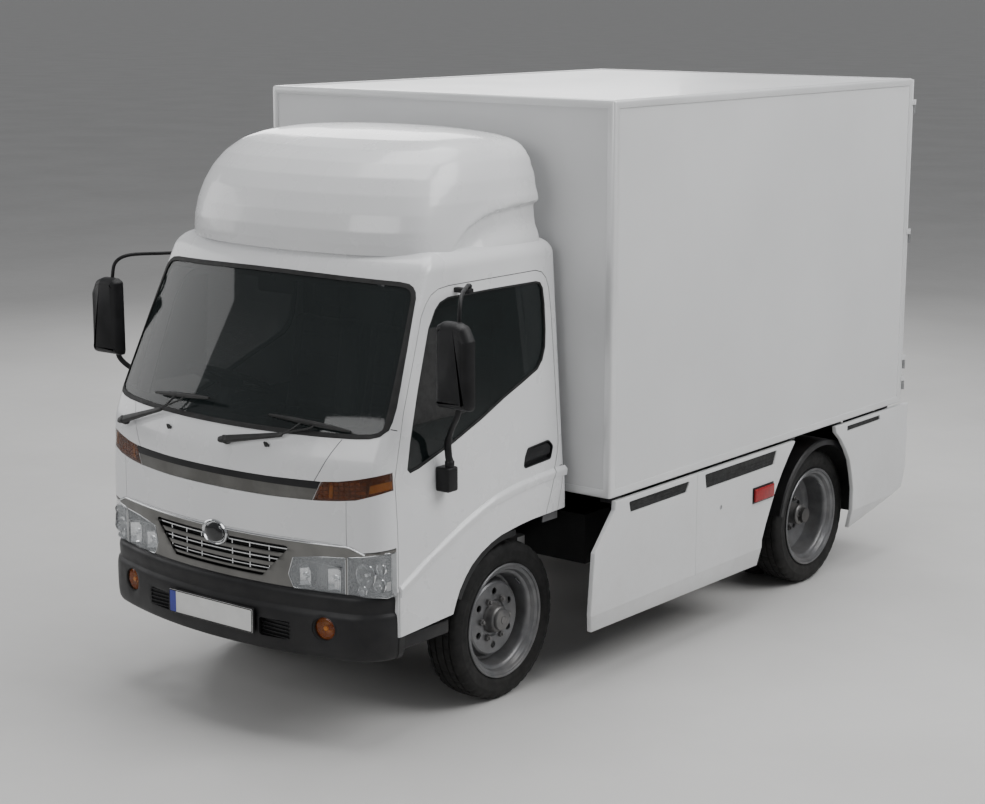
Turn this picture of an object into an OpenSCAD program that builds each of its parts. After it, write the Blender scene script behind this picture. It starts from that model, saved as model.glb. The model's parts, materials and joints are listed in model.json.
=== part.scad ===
// Light cab-over delivery truck with a plain closed cargo box.
// Millimetres. +X is the truck's left side, the front faces -Y, +Z is up.
// The origin is on the ground at the middle of the whole truck's footprint.

/* [Running gear] */
// Distance between the front and rear axle lines
wheelbase = 2525; // [2515:5:2535]
// Outer radius of the tyres
tyre_r = 370; // [366:1:372]
// Section width of one tyre
tyre_w = 190; // [180:2:194]
// Radius of the wheel rim's outer flange
rim_r = 266; // [260:1:268]
// Radius of the front stub axle
stub_r = 25; // [20:1:28]

/* [Cab] */
// Half of the cab's width at the widest line
cab_hw = 847; // [845:1:849]
// Sheet thickness of the cab's walls and roof
cab_t = 14; // [10:1:16]
// Radius of the cab's curved front in plan
face_r = 2300; // [2200:50:2500]

/* [Cargo box] */
// Half of the cargo box's width
box_hw = 1056; // [1050:1:1058]
// Height of the underside of the cargo box
box_z0 = 889; // [887:1:892]
// Height of the top of the cargo box
box_z1 = 2717; // [2700:1:2730]
// Thickness of the cargo box's wall panels
wall_t = 26; // [20:1:30]
// Width of the aluminium corner trims
trim_w = 40; // [30:1:50]

/* [Loading] */
// Depth of the side skirts' sheet
skirt_t = 30; // [20:1:34]
// Radius of the door lock bars
bar_r = 13; // [10:1:15]

/* [Hidden] */
$fn = 64;
oy = -1180;                       // the front axle line's place along Y
box_y0 = 450; box_y1 = 3371;      // box ends, from the front axle line
door_y0 = 3342;                   // inner face of the rear doors
tumble = atan2(77, 1125);         // lean of the cab's sides above the waist
rake = 27;                        // lean of the windscreen
white = [0.86, 0.87, 0.88]; black = [0.07, 0.07, 0.08]; steel = [0.45, 0.47, 0.5];
frame_c = [0.13, 0.14, 0.15]; alu = [0.75, 0.76, 0.78]; amber = [0.9, 0.5, 0.08];

module at() { translate([0, oy, 0]) children(); }
module bx(x0, x1, y0, y1, z0, z1) { translate([x0, y0, z0]) cube([x1 - x0, y1 - y0, z1 - z0]); }
module both() { children(); mirror([1, 0, 0]) children(); }
module cx(x0, x1, y, z, r) { translate([x0, y, z]) rotate([0, 90, 0]) cylinder(r = r, h = x1 - x0); }
module cy(x, y0, y1, z, r) { translate([x, y0, z]) rotate([-90, 0, 0]) cylinder(r = r, h = y1 - y0); }
module cz(x, y, z0, z1, r) { translate([x, y, z0]) cylinder(r = r, h = z1 - z0); }
// straight round bar between two points
module rod(a, b, r) { d = b - a; l = norm(d); translate(a) rotate([0, acos(d[2] / l), atan2(d[1], d[0])]) cylinder(r = r, h = l); }
// outline in the Y-Z plane, drawn through the body from x0 to x1
module side_prism(x0, x1, p) { translate([x0, 0, 0]) rotate([90, 0, 90]) linear_extrude(x1 - x0) polygon(p); }
// outline in the X-Z plane, drawn through the body from y0 to y1
module front_prism(y0, y1, p) { translate([0, y1, 0]) rotate([90, 0, 0]) linear_extrude(y1 - y0) polygon(p); }

// ---------- cab volumes ----------
// plan of the curved front: f = frontmost y at the middle, o = inset
module plan2d(f, o, r) {
  intersection() {
    translate([0, f + o + r]) circle(r = r, $fn = 180);
    translate([-cab_hw + o, f - 10]) square([2 * (cab_hw - o), 1600]);
    polygon([[-2000, 1500], [-2000, f + 1153 + 1.2 * o - 1000], [-cab_hw - 1.0 + 0, f + 238 + 1.5 * o], [-cab_hw + 90, f + 100 + 1.3 * o], [-cab_hw + 190, f - 30],
             [cab_hw - 190, f - 30], [cab_hw - 90, f + 100 + 1.3 * o], [cab_hw + 1.0, f + 238 + 1.5 * o], [2000, f + 1153 + 1.2 * o - 1000], [2000, 1500]]);
  }
}
function sideprof(o) = [[-1060, 705 + o], [-806 + o, 705 + o], [-806 + o, 507 + o], [-444 - o, 507 + o], [-444 - o, 530 + o / 2], [-402 - o, 631 + o / 2],
  [-318 - o * 0.6, 726 + o * 0.8], [-176 - o * 0.4, 800 + o], [-30, 831 + o], [119, 846 + o], [395 - o, 849 + o], [395 - o, 2030], [355 - o, 2085 - o], [-500, 2100 - o], [-720, 2060 - o], [-1060, 1990]];
module frontprof(o, y0, y1) { front_prism(y0, y1, [[-cab_hw + o, 400], [cab_hw - o, 400], [cab_hw - o, 950], [cab_hw - 74 - o, 2020], [cab_hw - 130, 2078 - o], [cab_hw - 300, 2110 - o],
  [-cab_hw + 300, 2110 - o], [-cab_hw + 130, 2078 - o], [-cab_hw + 74 + o, 2020], [-cab_hw + o, 950]]); }
// closed volume of the cab, inset by o
module cab_solid(o) {
  difference() {
    intersection() {
      side_prism(-900, 900, sideprof(o));
      frontprof(o, -1200, 500);
      translate([0, 0, 400]) linear_extrude(1800) plan2d(-1044, o, face_r);
      translate([0, -1000, 1354]) rotate([-rake, 0, 0]) translate([0, 0, -1500]) linear_extrude(3000) translate([0, -(-1000) - 1000]) intersection() {
        translate([0, o + 2600]) circle(r = 2600, $fn = 180);
        translate([-1000, -100]) square([2000, 2600]);
      }
    }
    // raised tunnel over the frame and the engine
    bx(-430 - o, 430 + o, -1100, -300, 300, 762 + o);
    bx(-330 - o, 330 + o, -560 - o, 600, 300, 1010 + o);
    bx(-430 - o, 430 + o, -301, 600, 300, 855 + o);
  }
}
// skin of the cab's front, from depth a to depth b
module face_layer(a, b) { difference() { cab_solid(a); translate([0, 0, 300]) linear_extrude(1500) plan2d(-1044, b, face_r); } }
// slanted curved volume behind the windscreen's face, inset by o
module slant(o) { translate([0, -1000, 1354]) rotate([-rake, 0, 0]) translate([0, o + 2600, -700]) cylinder(r = 2600, h = 1700, $fn = 180); }
// door outline, grown by g
function doorprof(g) = [[-806 + 3 - g, 505], [-806 + 3 - g, 1190], [-788 - g, 1235], [-723 - g, 1458], [-633 - g, 1687], [-573 - g, 1845], [-482 - g, 1944 + g], [-440, 1956 + g], [250 + g, 1956 + g], [312 + g, 1906 + g],
  [338 + g, 1800], [346 + g, 1589], [348 + g, 1157], [325 + g, 1063 - g], [292 + g, 985 - g], [232 + g, 843 - g], [228 + g, 500], [-200, 500]];
winprof = [[-704, 1205], [-409, 1280], [-32, 1418], [222, 1508], [272, 1570], [290, 1640], [288, 1843], [250, 1898], [-389, 1898], [-470, 1866], [-528, 1787], [-624, 1534], [-712, 1262]];
glassprof = [[-722, 1186], [-409, 1260], [-32, 1398], [232, 1488], [290, 1560], [308, 1640], [304, 1850], [258, 1914], [-392, 1914], [-486, 1880], [-546, 1790], [-642, 1536], [-730, 1262]];
wsprof = [[-812, 1372], [-690, 1352], [-350, 1348], [350, 1348], [690, 1352], [812, 1372], [800, 1440], [745, 1930], [715, 1962], [400, 1990], [-400, 1990], [-715, 1962], [-745, 1930], [-800, 1440]];
grilleprof = [[-800, 870], [-300, 905], [300, 905], [800, 870], [800, 720], [-800, 720]];
lampprof = [[-847, 1236], [-560, 1190], [-560, 1130], [-847, 1130]];

// ---------- frame and running gear ----------
module frame_rails() { color(frame_c) at() both() difference() { bx(330, 390, -960, 3330, 560, 730); bx(324, 383, -950, 3320, 568, 722); } }
module frame_crossmembers() { color(frame_c) at() {
  bx(-330, 330, -955, -895, 600, 700);
  for (y = [860, 1450, 1900, 2980]) cx(-330, 330, y, 690, 34);
  bx(-330, 330, 3250, 3316, 580, 715); } }
module front_axle_beam() { color(frame_c) at() {
  difference() { union() { both() { cz(640, 0, 341, 399, 26); bx(560, 620, -26, 26, 345, 395); side_ramp(); } bx(-440, 440, -26, 26, 300, 352); }
    both() cz(640, 0, 300, 450, 15.05); } } }
module side_ramp() { front_prism(-26, 26, [[438, 300], [562, 345], [562, 395], [438, 352]]); }
module leaf_springs() { color(frame_c) at() both() {
  side_prism(325, 390, [[-640, 520], [-560, 470], [-120, 372], [-60, 353], [60, 353], [120, 372], [560, 470], [640, 520], [630, 540], [540, 494], [120, 404], [-120, 404], [-540, 494], [-630, 540]]);
  bx(340, 375, -640, -600, 536, 559); bx(340, 375, 600, 640, 536, 559);
  side_prism(400, 470, [[1860, 560], [1960, 500], [2400, 446], [2650, 446], [3090, 500], [3190, 560], [3170, 584], [3080, 530], [2650, 490], [2400, 490], [1970, 530], [1880, 584]]);
  bx(391, 470, 1850, 1895, 585, 650); bx(391, 470, 3155, 3200, 585, 650); } }
module rear_axle_housing() { color(frame_c) at() translate([0, wheelbase, 0]) {
  cx(-520, 520, 0, tyre_r, 62); sphere_case();
  both() { bx(402, 468, -60, 60, tyre_r, 446); cx(520, 925, 0, tyre_r, 40); cx(522, 534, 0, tyre_r, 150); } } }
module sphere_case() { translate([0, 0, tyre_r]) rotate([0, 90, 0]) rotate_extrude() polygon([[0, -150], [90, -140], [150, -80], [168, 0], [150, 80], [90, 140], [0, 150]]); }
module engine_gearbox() { color(steel) at() {
  difference() { bx(-230, 230, -470, 250, 560, 900); bx(-300, -150, -480, 260, 550, 640); bx(150, 300, -480, 260, 550, 640); }
  bx(-150, 150, -440, 220, 470, 560); bx(-190, 190, -440, 220, 900, 985);
  translate([0, 251, 690]) rotate([-90, 0, 0]) cylinder(r1 = 200, r2 = 120, h = 160);
  bx(-110, 110, 411, 486, 590, 790);
  cy(0, 486, 600, 640, 50);
  bx(-300, 300, -640, -580, 520, 745); translate([0, -579, 640]) rotate([-90, 0, 0]) cylinder(r = 115, h = 70);
  cy(0, -509, -470, 640, 40); } }
module prop_shaft() { color(steel) at() { rod([0, 606, 640], [0, 2322, 405], 34); } }
module fuel_tank() { color(steel) at() difference() { bx(480, 880, 1010, 1500, 470, 770); for (s = [0, 1]) translate([0, 1010 + 490 * s, 470]) rotate([0, 0, 0]) bx(470, 890, -6, 6, -10, 30); } }
module exhaust() { color(steel) at() { cy(-600, 760, 1450, 560, 105); cy(-600, 1450, 1760, 560, 26); cy(-600, 1760, 1800, 560, 34); cy(-600, 640, 760, 560, 26); } }
module battery_box() { color(black) at() { bx(480, 840, 560, 940, 520, 760); bx(391, 479, 580, 920, 600, 640); } }
module cab_mounts() { color(frame_c) at() {
  both() difference() { union() { bx(390, 404, -992, -880, 640, 712); cx(390, 404, -972, 712, 20); } cx(380, 430, -972, 712, 12.05); }
  both() { bx(331, 389, 300, 360, 731, 854); bx(391, 470, 310, 350, 640, 700); } } }
module knuckle(s) { color(steel) at() mirror([s, 0, 0]) {
  bx(606, 686, -30, 30, 401, 421); bx(606, 686, -30, 30, 319, 339); bx(668, 686, -42, 42, 319, 421);
  cz(640, 0, 310, 430, 15); cx(680, 775, 0, 370, stub_r);
  difference() { cx(659, 665, 0, 370, 150); cx(650, 670, 0, 370, 60); } bx(662, 672, -50, 50, 300, 322); bx(662, 672, -50, 50, 418, 440); } }
// wheel rim: x0 is the outer flange plane, d the disc's recess, w the barrel's width
module rim_shape(x0, w, d, hub) {
  difference() {
    translate([x0, 0, 0]) rotate([0, 90, 0]) rotate_extrude() polygon([[hub, -d - 34], [80, -d - 34], [84, -d - 12], [176, -d - 12], [208, -d - 4], [214, -36], [226, -30], [236, -16], [250, -12], [253, -2], [262, 0], [rim_r, -3], [rim_r, -8], [259, -12],
      [257, -w + 12], [rim_r, -w + 8], [rim_r, -w + 3], [250, -w], [222, -w + 60], [222, -d - 40], [206, -d - 22], [100, -d - 24], [92, -d - 44], [hub, -d - 44]]);
    for (i = [0:5]) rotate([60 * i, 0, 0]) cx(x0 - d - 60, x0 - d + 20, 0, 130, 17);
  }
}
module tyre_shape(xc) { translate([xc, 0, 0]) rotate([0, 90, 0]) rotate_extrude($fn = 96) { w = tyre_w / 2; h = tyre_r - rim_r;
  polygon([[rim_r + 0.4, -w + 12], [rim_r + 0.25 * h, -w + 3], [rim_r + 0.55 * h, -w], [tyre_r - 22, -w + 6], [tyre_r - 6, -w + 18], [tyre_r, -w + 34],
    [tyre_r, w - 34], [tyre_r - 6, w - 18], [tyre_r - 22, w - 6], [rim_r + 0.55 * h, w], [rim_r + 0.25 * h, w - 3], [rim_r + 0.4, w - 12], [rim_r + 0.4, -w + 12]]); } }
module front_rim(s) { color(steel) at() mirror([s, 0, 0]) translate([0, 0, 370]) { rim_shape(800, 186, 66, stub_r + 0.05); cx(777, 783, 0, 0, stub_r + 18);
  difference() { cx(742, 777, 0, 0, 62); cx(730, 778, 0, 0, stub_r + 0.05); } } }
module front_tyre(s) { color(black) at() mirror([s, 0, 0]) translate([0, 0, 370]) tyre_shape(707); }
module rear_rim(s) { color(steel) at() mirror([s, 0, 0]) translate([0, wheelbase, tyre_r]) {
  rim_shape(961, 190, 150, 40.05); difference() { cx(800, 840, 0, 0, 70); cx(790, 850, 0, 0, 40.05); }
  difference() { cx(840, 926, 0, 0, 58); cx(830, 927, 0, 0, 40.05); } cx(926, 932, 0, 0, 58);
  mirror([1, 0, 0]) rim_shape(-545, 190, 150, 64); difference() { cx(738, 766, 0, 0, 90); cx(730, 790, 0, 0, 40.05); } } }
module rear_tyre(s) { color(black) at() mirror([s, 0, 0]) translate([0, wheelbase, tyre_r]) { tyre_shape(866); tyre_shape(640); } }

// ---------- front end on the frame ----------
module bumper_plan(o) { intersection() { translate([0, -1075 + o + face_r]) circle(r = face_r, $fn = 180); translate([-845 + o, -1090]) square([2 * (845 - o), 278]);
  polygon([[-2000, 0], [-846 + o, -830 + 1.4 * o], [-750 + o, -962 + 1.4 * o], [-640, -1060 + o], [-640, -1100], [640, -1100], [640, -1060 + o], [750 - o, -962 + 1.4 * o], [846 - o, -830 + 1.4 * o], [2000, 0]]); } }
module front_bumper() { color(black) at() {
  difference() {
    union() { translate([0, 0, 400]) linear_extrude(296) bumper_plan(0); }
    translate([0, 0, 412]) linear_extrude(300) bumper_plan(10);
    bx(-430, 430, -985, -700, 380, 440); bx(-600, 600, -900, -700, 380, 700);
    for (s = [-1, 1]) bx(s * 350 - 75, s * 350 + 75, -1100, -1000, 470, 545);
    for (s = [-1, 1]) cy(s * 595, -1100, -900, 545, 62);
  }
  both() bx(620, 845, -790, -462, 440, 500);
  both() bx(330, 390, -1058, -961, 600, 680);
} }
module number_plate() { color("white") at() bx(-260, 260, -1083, -1076, 474, 584); }
module signal_lamps() { at() {
  both() color(amber) cy(595, -1040, -975, 545, 60);
  both() color("red") bx(box_hw + 1, box_hw + 15, 1736, 1930, 618, 690);
  both() color("red") bx(700, 980, 3341, 3372, 700, 800); } }
// ---------- cargo box ----------
module box_floor() { color(frame_c) at() { bx(-1016, 1016, box_y0 + trim_w, 3298, box_z0 + 30, box_z0 + 62);
  both() bx(331, 389, 520, 3300, 732, box_z0 - 28);
  for (y = [560, 1000, 1450, 1800, 3050, 3230]) bx(-960, 960, y, y + 50, box_z0 - 28, box_z0 + 30); } }
module box_panels() { color(white) at() {
  both() bx(box_hw - 6 - wall_t, box_hw - 6, box_y0 + trim_w, 3298, box_z0 + 64, box_z1 - trim_w);
  bx(-box_hw + trim_w, box_hw - trim_w, box_y0 + 6, box_y0 + 6 + wall_t, box_z0 + 64, box_z1 - trim_w);
  bx(-box_hw + trim_w, box_hw - trim_w, box_y0 + trim_w, 3298, box_z1 - 4 - wall_t, box_z1 - 4); } }
module box_trims() { color(alu) at() {
  both() difference() { bx(box_hw - trim_w, box_hw, box_y0, box_y0 + trim_w, box_z0, box_z1); }
  bx(-box_hw + trim_w, box_hw - trim_w, box_y0, box_y0 + trim_w, box_z1 - trim_w, box_z1);
  bx(-box_hw + trim_w, box_hw - trim_w, box_y0, box_y0 + trim_w, box_z0, box_z0 + 28);
  both() bx(box_hw - trim_w, box_hw, box_y0 + trim_w, 3298, box_z1 - trim_w, box_z1);
  both() difference() { bx(box_hw - trim_w, box_hw, box_y0 + trim_w, 3298, box_z0, box_z0 + 63); } } }
module box_rear_frame() { color(alu) at() { difference() { bx(-box_hw, box_hw, 3299, 3340, box_z0, box_z1); bx(-box_hw + 40, box_hw - 40, 3200, 3400, box_z0 + 62, box_z1 - 60); }
  // fixed halves of the rear door hinges
  both() for (z = [1080, 1800, 2520]) { bx(1048, 1056, 3340, 3378, z + 51, z + 80); cz(1050, 3378, z + 51, z + 80, 7); } } }
module cargo_door(s) { color(white) at() mirror([s, 0, 0]) { bx(3, 1046, door_y0, 3371, box_z0 + 8, box_z1 - 8);
  for (z = [1080, 1800, 2520]) { bx(940, 1050, 3371, 3377, z, z + 50); cz(1050, 3378, z, z + 50, 7); } } }
module lock_bar(s) { color(alu) at() mirror([s, 0, 0]) { cz(90, 3387, box_z0 + 40, box_z1 - 40, bar_r); bx(90, 330, 3380, 3394, 1440, 1470);
  bx(320, 334, 3394, 3424, 1430, 1480); } }
function skirt_f(g) = [[500, 870], [337, 660], [310, 364], [352, 268], [1845, 256], [1836, 352], [1840, 400], [1967, 640], [2150, 872]];
module skirt(s) { color(white) at() mirror([s, 0, 0]) {
  difference() { side_prism(box_hw - skirt_t, box_hw, skirt_f(0));
    bx(box_hw - 12, box_hw + 5, 608, 1130, 795, 850); bx(box_hw - 12, box_hw + 5, 1270, 1960, 790, 850);
    cx(box_hw - 60, box_hw + 5, 1426, 656, 12);
    // the lowest band leans inward
    translate([box_hw, 0, 358]) rotate([0, 9, 0]) bx(0, 60, 0, 2300, -200, 0); }
  difference() { side_prism(box_hw - skirt_t, box_hw, [[2595, 872], [2700, 780], [2766, 656], [2820, 475], [2820, 350], [2842, 250], [3400, 380], [3440, 500], [3440, 872]]);
    bx(box_hw - 12, box_hw + 5, 2740, 3100, 810, 850); }
  for (y = [620, 1200, 1800, 3120]) bx(880, box_hw - skirt_t, y, y + 40, 820, 860);
  for (y = [620, 1200, 1800, 3120]) bx(880, 900, y, y + 40, 780, 820);
  bx(box_hw, box_hw + 1, 1760, 1900, 630, 680); } }
module rear_bumper() { color(frame_c) at() { bx(-1000, 1000, 3380, 3430, 480, 580); both() bx(340, 380, 3331, 3380, 500, 720); both() bx(340, 380, 3260, 3331, 500, 559); } }

// ---------- cab ----------
module shell_layer(a, b) { difference() { cab_solid(a); cab_solid(b); } }
module cab_shell() { color(white) at() {
  difference() {
    shell_layer(0, cab_t);
    both() difference() { side_prism(600, 1000, doorprof(4)); frontprof(66, -1300, 600); }
    intersection() { front_prism(-1200, -500, wsprof); difference() { slant(-30); slant(50); } }
    front_prism(-1200, -900, [[-430, 902], [-300, 907], [300, 907], [430, 902], [430, 690], [-430, 690]]);
    cy(0, -1100, -1000, 884, 50);
    front_prism(-1200, -700, lampprof); mirror([1, 0, 0]) front_prism(-1200, -700, lampprof);
    front_prism(-1200, -700, [[-560, 1140], [560, 1140], [560, 1190], [-560, 1190]]);
    both() front_prism(-1200, -812, [[432, 700], [850, 700], [850, 871], [432, 899]]);
  }
  // rear floor riser, door steps and hinge lugs
  both() { bx(406, 432, -990, -955, 712, 766); cx(406, 432, -972, 712, 20); cx(390, 410, -972, 712, 12); }
  bx(-700, -400, 20, 180, 860, 1000); bx(-700, -660, -300, 200, 995, 1012); bx(-700, -660, 60, 140, 860, 1012); bx(-300, -260, -300, 200, 1020, 1032); bx(-440, -400, 40, 160, 860, 1000);
} }
module roof_fairing() { color(white) at() difference() {
  intersection() {
    side_prism(-760, 760, [[-650, 2116], [-680, 2160], [-600, 2330], [-470, 2480], [-330, 2560], [-150, 2590], [60, 2585], [320, 2540], [320, 2116]]);
    front_prism(-900, 500, [[-740, 2100], [740, 2100], [745, 2300], [700, 2450], [560, 2570], [300, 2600], [-300, 2600], [-560, 2570], [-700, 2450], [-745, 2300]]);
    translate([0, 0, 2000]) linear_extrude(700) intersection() { translate([0, -690 + 2000]) circle(r = 2000, $fn = 180); translate([-760, -800]) square([1520, 1200]);
      polygon([[-900, 600], [-760, -380], [-600, -640], [0, -800], [600, -640], [760, -380], [900, 600]]); }
  }
  intersection() {
    side_prism(-720, 720, [[-600, 2100], [-625, 2165], [-560, 2310], [-440, 2450], [-310, 2530], [-150, 2560], [60, 2555], [400, 2515], [400, 2100]]);
    front_prism(-900, 600, [[-700, 2000], [700, 2000], [705, 2295], [665, 2430], [545, 2535], [290, 2562], [-290, 2562], [-545, 2535], [-665, 2430], [-705, 2295]]);
    translate([0, 0, 2000]) linear_extrude(700) polygon([[-710, 600], [-710, -360], [-560, -600], [0, -640], [560, -600], [710, -360], [710, 600]]);
  } }
  color(white) at() both() bx(560, 680, -300, 300, 2098, 2115.5); }
module windscreen() { color([0.3, 0.34, 0.36, 0.5]) at() intersection() { difference() { slant(3); slant(9); } front_prism(-1200, -500, wsprof); } }
module front_trim() { color(alu) at() {
  difference() { intersection() { face_layer(1, 14); front_prism(-1200, -700, [[-428, 719], [-428, 897], [-300, 903], [300, 903], [428, 897], [428, 719]]); }
    front_prism(-1200, -700, [[-255, 838], [-190, 738], [190, 738], [255, 838]]);  }
  intersection() { face_layer(5, 17); union() { front_prism(-1200, -700, [[-225, 790], [-217, 778], [217, 778], [225, 790]]); front_prism(-1200, -700, [[-250, 830], [-243, 818], [243, 818], [250, 830]]); front_prism(-1200, -700, [[-200, 754], [-190, 742], [190, 742], [200, 754]]); } }
  cy(0, -1048, -1030, 884, 48); }
  color(black) at() intersection() { face_layer(1, 20); front_prism(-1200, -700, [[-556, 1143], [556, 1143], [556, 1187], [-556, 1187]]); } }
module headlamps() { color([0.85, 0.87, 0.9]) at() both() intersection() { face_layer(1, 45); front_prism(-1200, -814, [[436, 722], [842, 709], [842, 868], [436, 896]]); } }
module corner_lamps() { color(amber) at() both() intersection() { face_layer(1, 40); front_prism(-1200, -815, [[560, 1134], [844, 1134], [844, 1230], [560, 1186]]); } }
module dashboard() { color(black) at() difference() { union() { bx(-750, 750, -811, -660, 1060, 1240); bx(-550, 550, -935, -811, 1150, 1235); bx(-300, 300, -740, -640, 1026, 1060); } bx(-450, -310, -730, -600, 1040, 1241); } }
module steering_column() { color(black) at() { rod([-380, -690, 1130], [-380, -560, 1412], 32); bx(-430, -330, -729, -660, 1060, 1190); } }
module steering_wheel() { color(black) at() translate([-380, -549, 1436]) rotate([-24.7, 0, 0]) {
  rotate_extrude() translate([195, 0]) circle(r = 14, $fn = 24);
  cz(0, 0, -14, 16, 60); for (a = [30, 150, 270]) rotate([0, 0, a]) bx(50, 186, -16, 16, -6, 6); } }
module seat_shape(x0, x1) { side_prism(x0, x1, [[-360, 1040], [-360, 1130], [-320, 1160], [40, 1150], [100, 1155], [200, 1640], [250, 1660], [290, 1640], [230, 1100], [200, 1040]]);
  bx((x0 + x1) / 2 - 120, (x0 + x1) / 2 + 120, 215, 275, 1662, 1800); }
module seat_driver() { color([0.2, 0.2, 0.22]) at() { seat_shape(-720, -240); } }
module seat_passenger() { color([0.2, 0.2, 0.22]) at() { seat_shape(-220, 200); seat_shape(220, 720); for (x = [480, 650]) bx(x, x + 40, 40, 160, 866, 1040); bx(650, 690, -300, 160, 1020, 1040); for (x = [-180, 150, 260]) bx(x, x + 30, -300, 160, 1025, 1040); } }
module pedal(x, w) { color(black) at() { rod([x, -895, 1040], [x, -819, 800], 8); translate([x, -815, 784]) rotate([-25, 0, 0]) bx(-w / 2, w / 2, -8, 8, -40, 40); cx(x - 20, x + 20, -895, 1040, 14); } }
module accelerator_pedal() { pedal(-600, 50); }
module brake_pedal() { pedal(-500, 70); }
module gear_lever() { color(black) at() { rod([-140, -540, 1046], [-140, -480, 1300], 8); translate([-140, -474, 1318]) sphere(r = 26); } }
module parking_brake_lever() { color(black) at() { rod([-226, -366, 1042], [-226, -420, 1150], 6); rod([-226, -420, 1150], [-226, -440, 1260], 12); } }
module door(s) { color(white) at() mirror([s, 0, 0]) { bx(831, 905, -540, -470, 1090, 1198); bx(774, 864, -347, -313, 1922, 1944); difference() {
  intersection() { cab_solid(0); side_prism(640, 900, doorprof(0)); }
  frontprof(62, -1300, 600);
  // window
  side_prism(600, 1000, winprof);
  // pocket that the glass runs in
  difference() { intersection() { frontprof(5, -1300, 600); side_prism(600, 900, [[-745, 840], [-752, 1200], [-740, 1290], [-660, 1540], [-565, 1795], [-500, 1892], [-396, 1926], [262, 1926], [318, 1856], [324, 1640], [322, 1560], [318, 1100], [250, 900], [-100, 870], [-250, 850], [-380, 790], [-440, 760]]); } frontprof(44, -1400, 700); }
  bx(818.5, 900, 86, 290, 1078, 1168);
} } }
module door_glass(s) { color([0.3, 0.34, 0.36, 0.5]) at() mirror([s, 0, 0]) intersection() {
  side_prism(600, 900, glassprof);
  translate([cab_hw, 0, 950]) rotate([0, -tumble, 0]) bx(-21, -16, -1000, 500, -100, 1100); } }
module door_handle(s) { color(black) at() mirror([s, 0, 0]) { bx(822, 834, 95, 280, 1086, 1160); bx(819, 822, 105, 270, 1140, 1158); } }
mir_a = [884, -505, 1190]; mir_b = [850, -262, 1966];
module mirror_arm(s) { color(black) at() mirror([s, 0, 0]) {
  rod([884, -505, 1203], [884, -520, 1300], 11, $fn = 8); rod([884, -520, 1300], [1040, -640, 1470], 11, $fn = 8); 
  rod([1040, -640, 1460], [1055, -650, 1905], 10, $fn = 8); rod([1055, -650, 1900], [1010, -580, 1962], 10, $fn = 8); rod([1010, -580, 1960], [850, -330, 1960], 10, $fn = 8); cz(850, -330, 1948, 1962, 10, $fn = 8);
  bx(965, 1150, -700, -662, 1500, 1860); bx(1020, 1085, -664, -636, 1560, 1600); bx(1020, 1085, -664, -636, 1760, 1800);
} }
// arm and blade on the slanted glass: y is the surface's place at the pivot, phi the arm's turn about the slope
module wiper(x, y, z, phi, dx) { color(black) at() translate([x, 0, 0]) { translate([0, y, z]) rotate([-rake, 0, 0]) rotate([0, 0, phi]) translate([0, -20, 0]) {
  translate([0, 0, 0]) rotate([-90, 0, 0]) cylinder(r = 16, h = 14);
  translate([0, -14, 0]) rotate([-90, 0, 0]) cylinder(r = 20, h = 14);
  rotate([0, -dx, 0]) bx(-8, 418, -12, -2, -8, 8); bx(195, 590, -2, 6, 138, 150); } } }

frame_rails();
frame_crossmembers();
front_axle_beam();
leaf_springs();
rear_axle_housing();
engine_gearbox();
prop_shaft();
fuel_tank();
exhaust();
battery_box();
front_bumper();
number_plate();
signal_lamps();
cab_mounts();
box_floor();
box_panels();
box_trims();
box_rear_frame();
skirt(0);  // skirt_left
skirt(1);  // skirt_right
rear_bumper();
cab_shell();
roof_fairing();
windscreen();
front_trim();
headlamps();
corner_lamps();
dashboard();
steering_column();
seat_passenger();
seat_driver();
accelerator_pedal();
brake_pedal();
gear_lever();
parking_brake_lever();
steering_wheel();
door(0);  // door_left
door(1);  // door_right
door_glass(0);  // door_glass_left
door_glass(1);  // door_glass_right
door_handle(0);  // door_handle_left
door_handle(1);  // door_handle_right
mirror_arm(0);  // mirror_left
mirror_arm(1);  // mirror_right
wiper(85, -1035, 1294, 7.4, 20);  // wiper_left
wiper(-635, -962, 1272, -11, 20);  // wiper_right
knuckle(0);  // knuckle_left
knuckle(1);  // knuckle_right
front_rim(0);  // front_rim_left
front_rim(1);  // front_rim_right
front_tyre(0);  // front_tyre_left
front_tyre(1);  // front_tyre_right
rear_rim(0);  // rear_rim_left
rear_rim(1);  // rear_rim_right
rear_tyre(0);  // rear_tyre_left
rear_tyre(1);  // rear_tyre_right
cargo_door(0);  // cargo_door_left
cargo_door(1);  // cargo_door_right
lock_bar(0);  // lock_bar_left
lock_bar(1);  // lock_bar_right
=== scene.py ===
import json
import math
import random
import bpy
import bmesh
import numpy as np
from mathutils import Vector, Matrix
from mathutils.bvhtree import BVHTree


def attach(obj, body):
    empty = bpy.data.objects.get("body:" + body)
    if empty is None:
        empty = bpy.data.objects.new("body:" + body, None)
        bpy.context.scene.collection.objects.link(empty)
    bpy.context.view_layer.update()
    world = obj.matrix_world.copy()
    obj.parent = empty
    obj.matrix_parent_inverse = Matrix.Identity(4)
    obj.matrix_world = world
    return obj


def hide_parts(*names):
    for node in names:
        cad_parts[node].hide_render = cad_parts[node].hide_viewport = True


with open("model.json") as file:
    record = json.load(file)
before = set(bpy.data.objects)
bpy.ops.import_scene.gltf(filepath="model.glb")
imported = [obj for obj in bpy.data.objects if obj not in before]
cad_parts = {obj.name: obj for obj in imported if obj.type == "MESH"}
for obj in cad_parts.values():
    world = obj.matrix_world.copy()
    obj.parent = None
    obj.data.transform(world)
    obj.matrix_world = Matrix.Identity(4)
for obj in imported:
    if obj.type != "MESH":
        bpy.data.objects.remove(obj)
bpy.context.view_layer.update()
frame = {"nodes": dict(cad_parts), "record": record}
N = frame["nodes"]
OY = -1180.0


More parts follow.
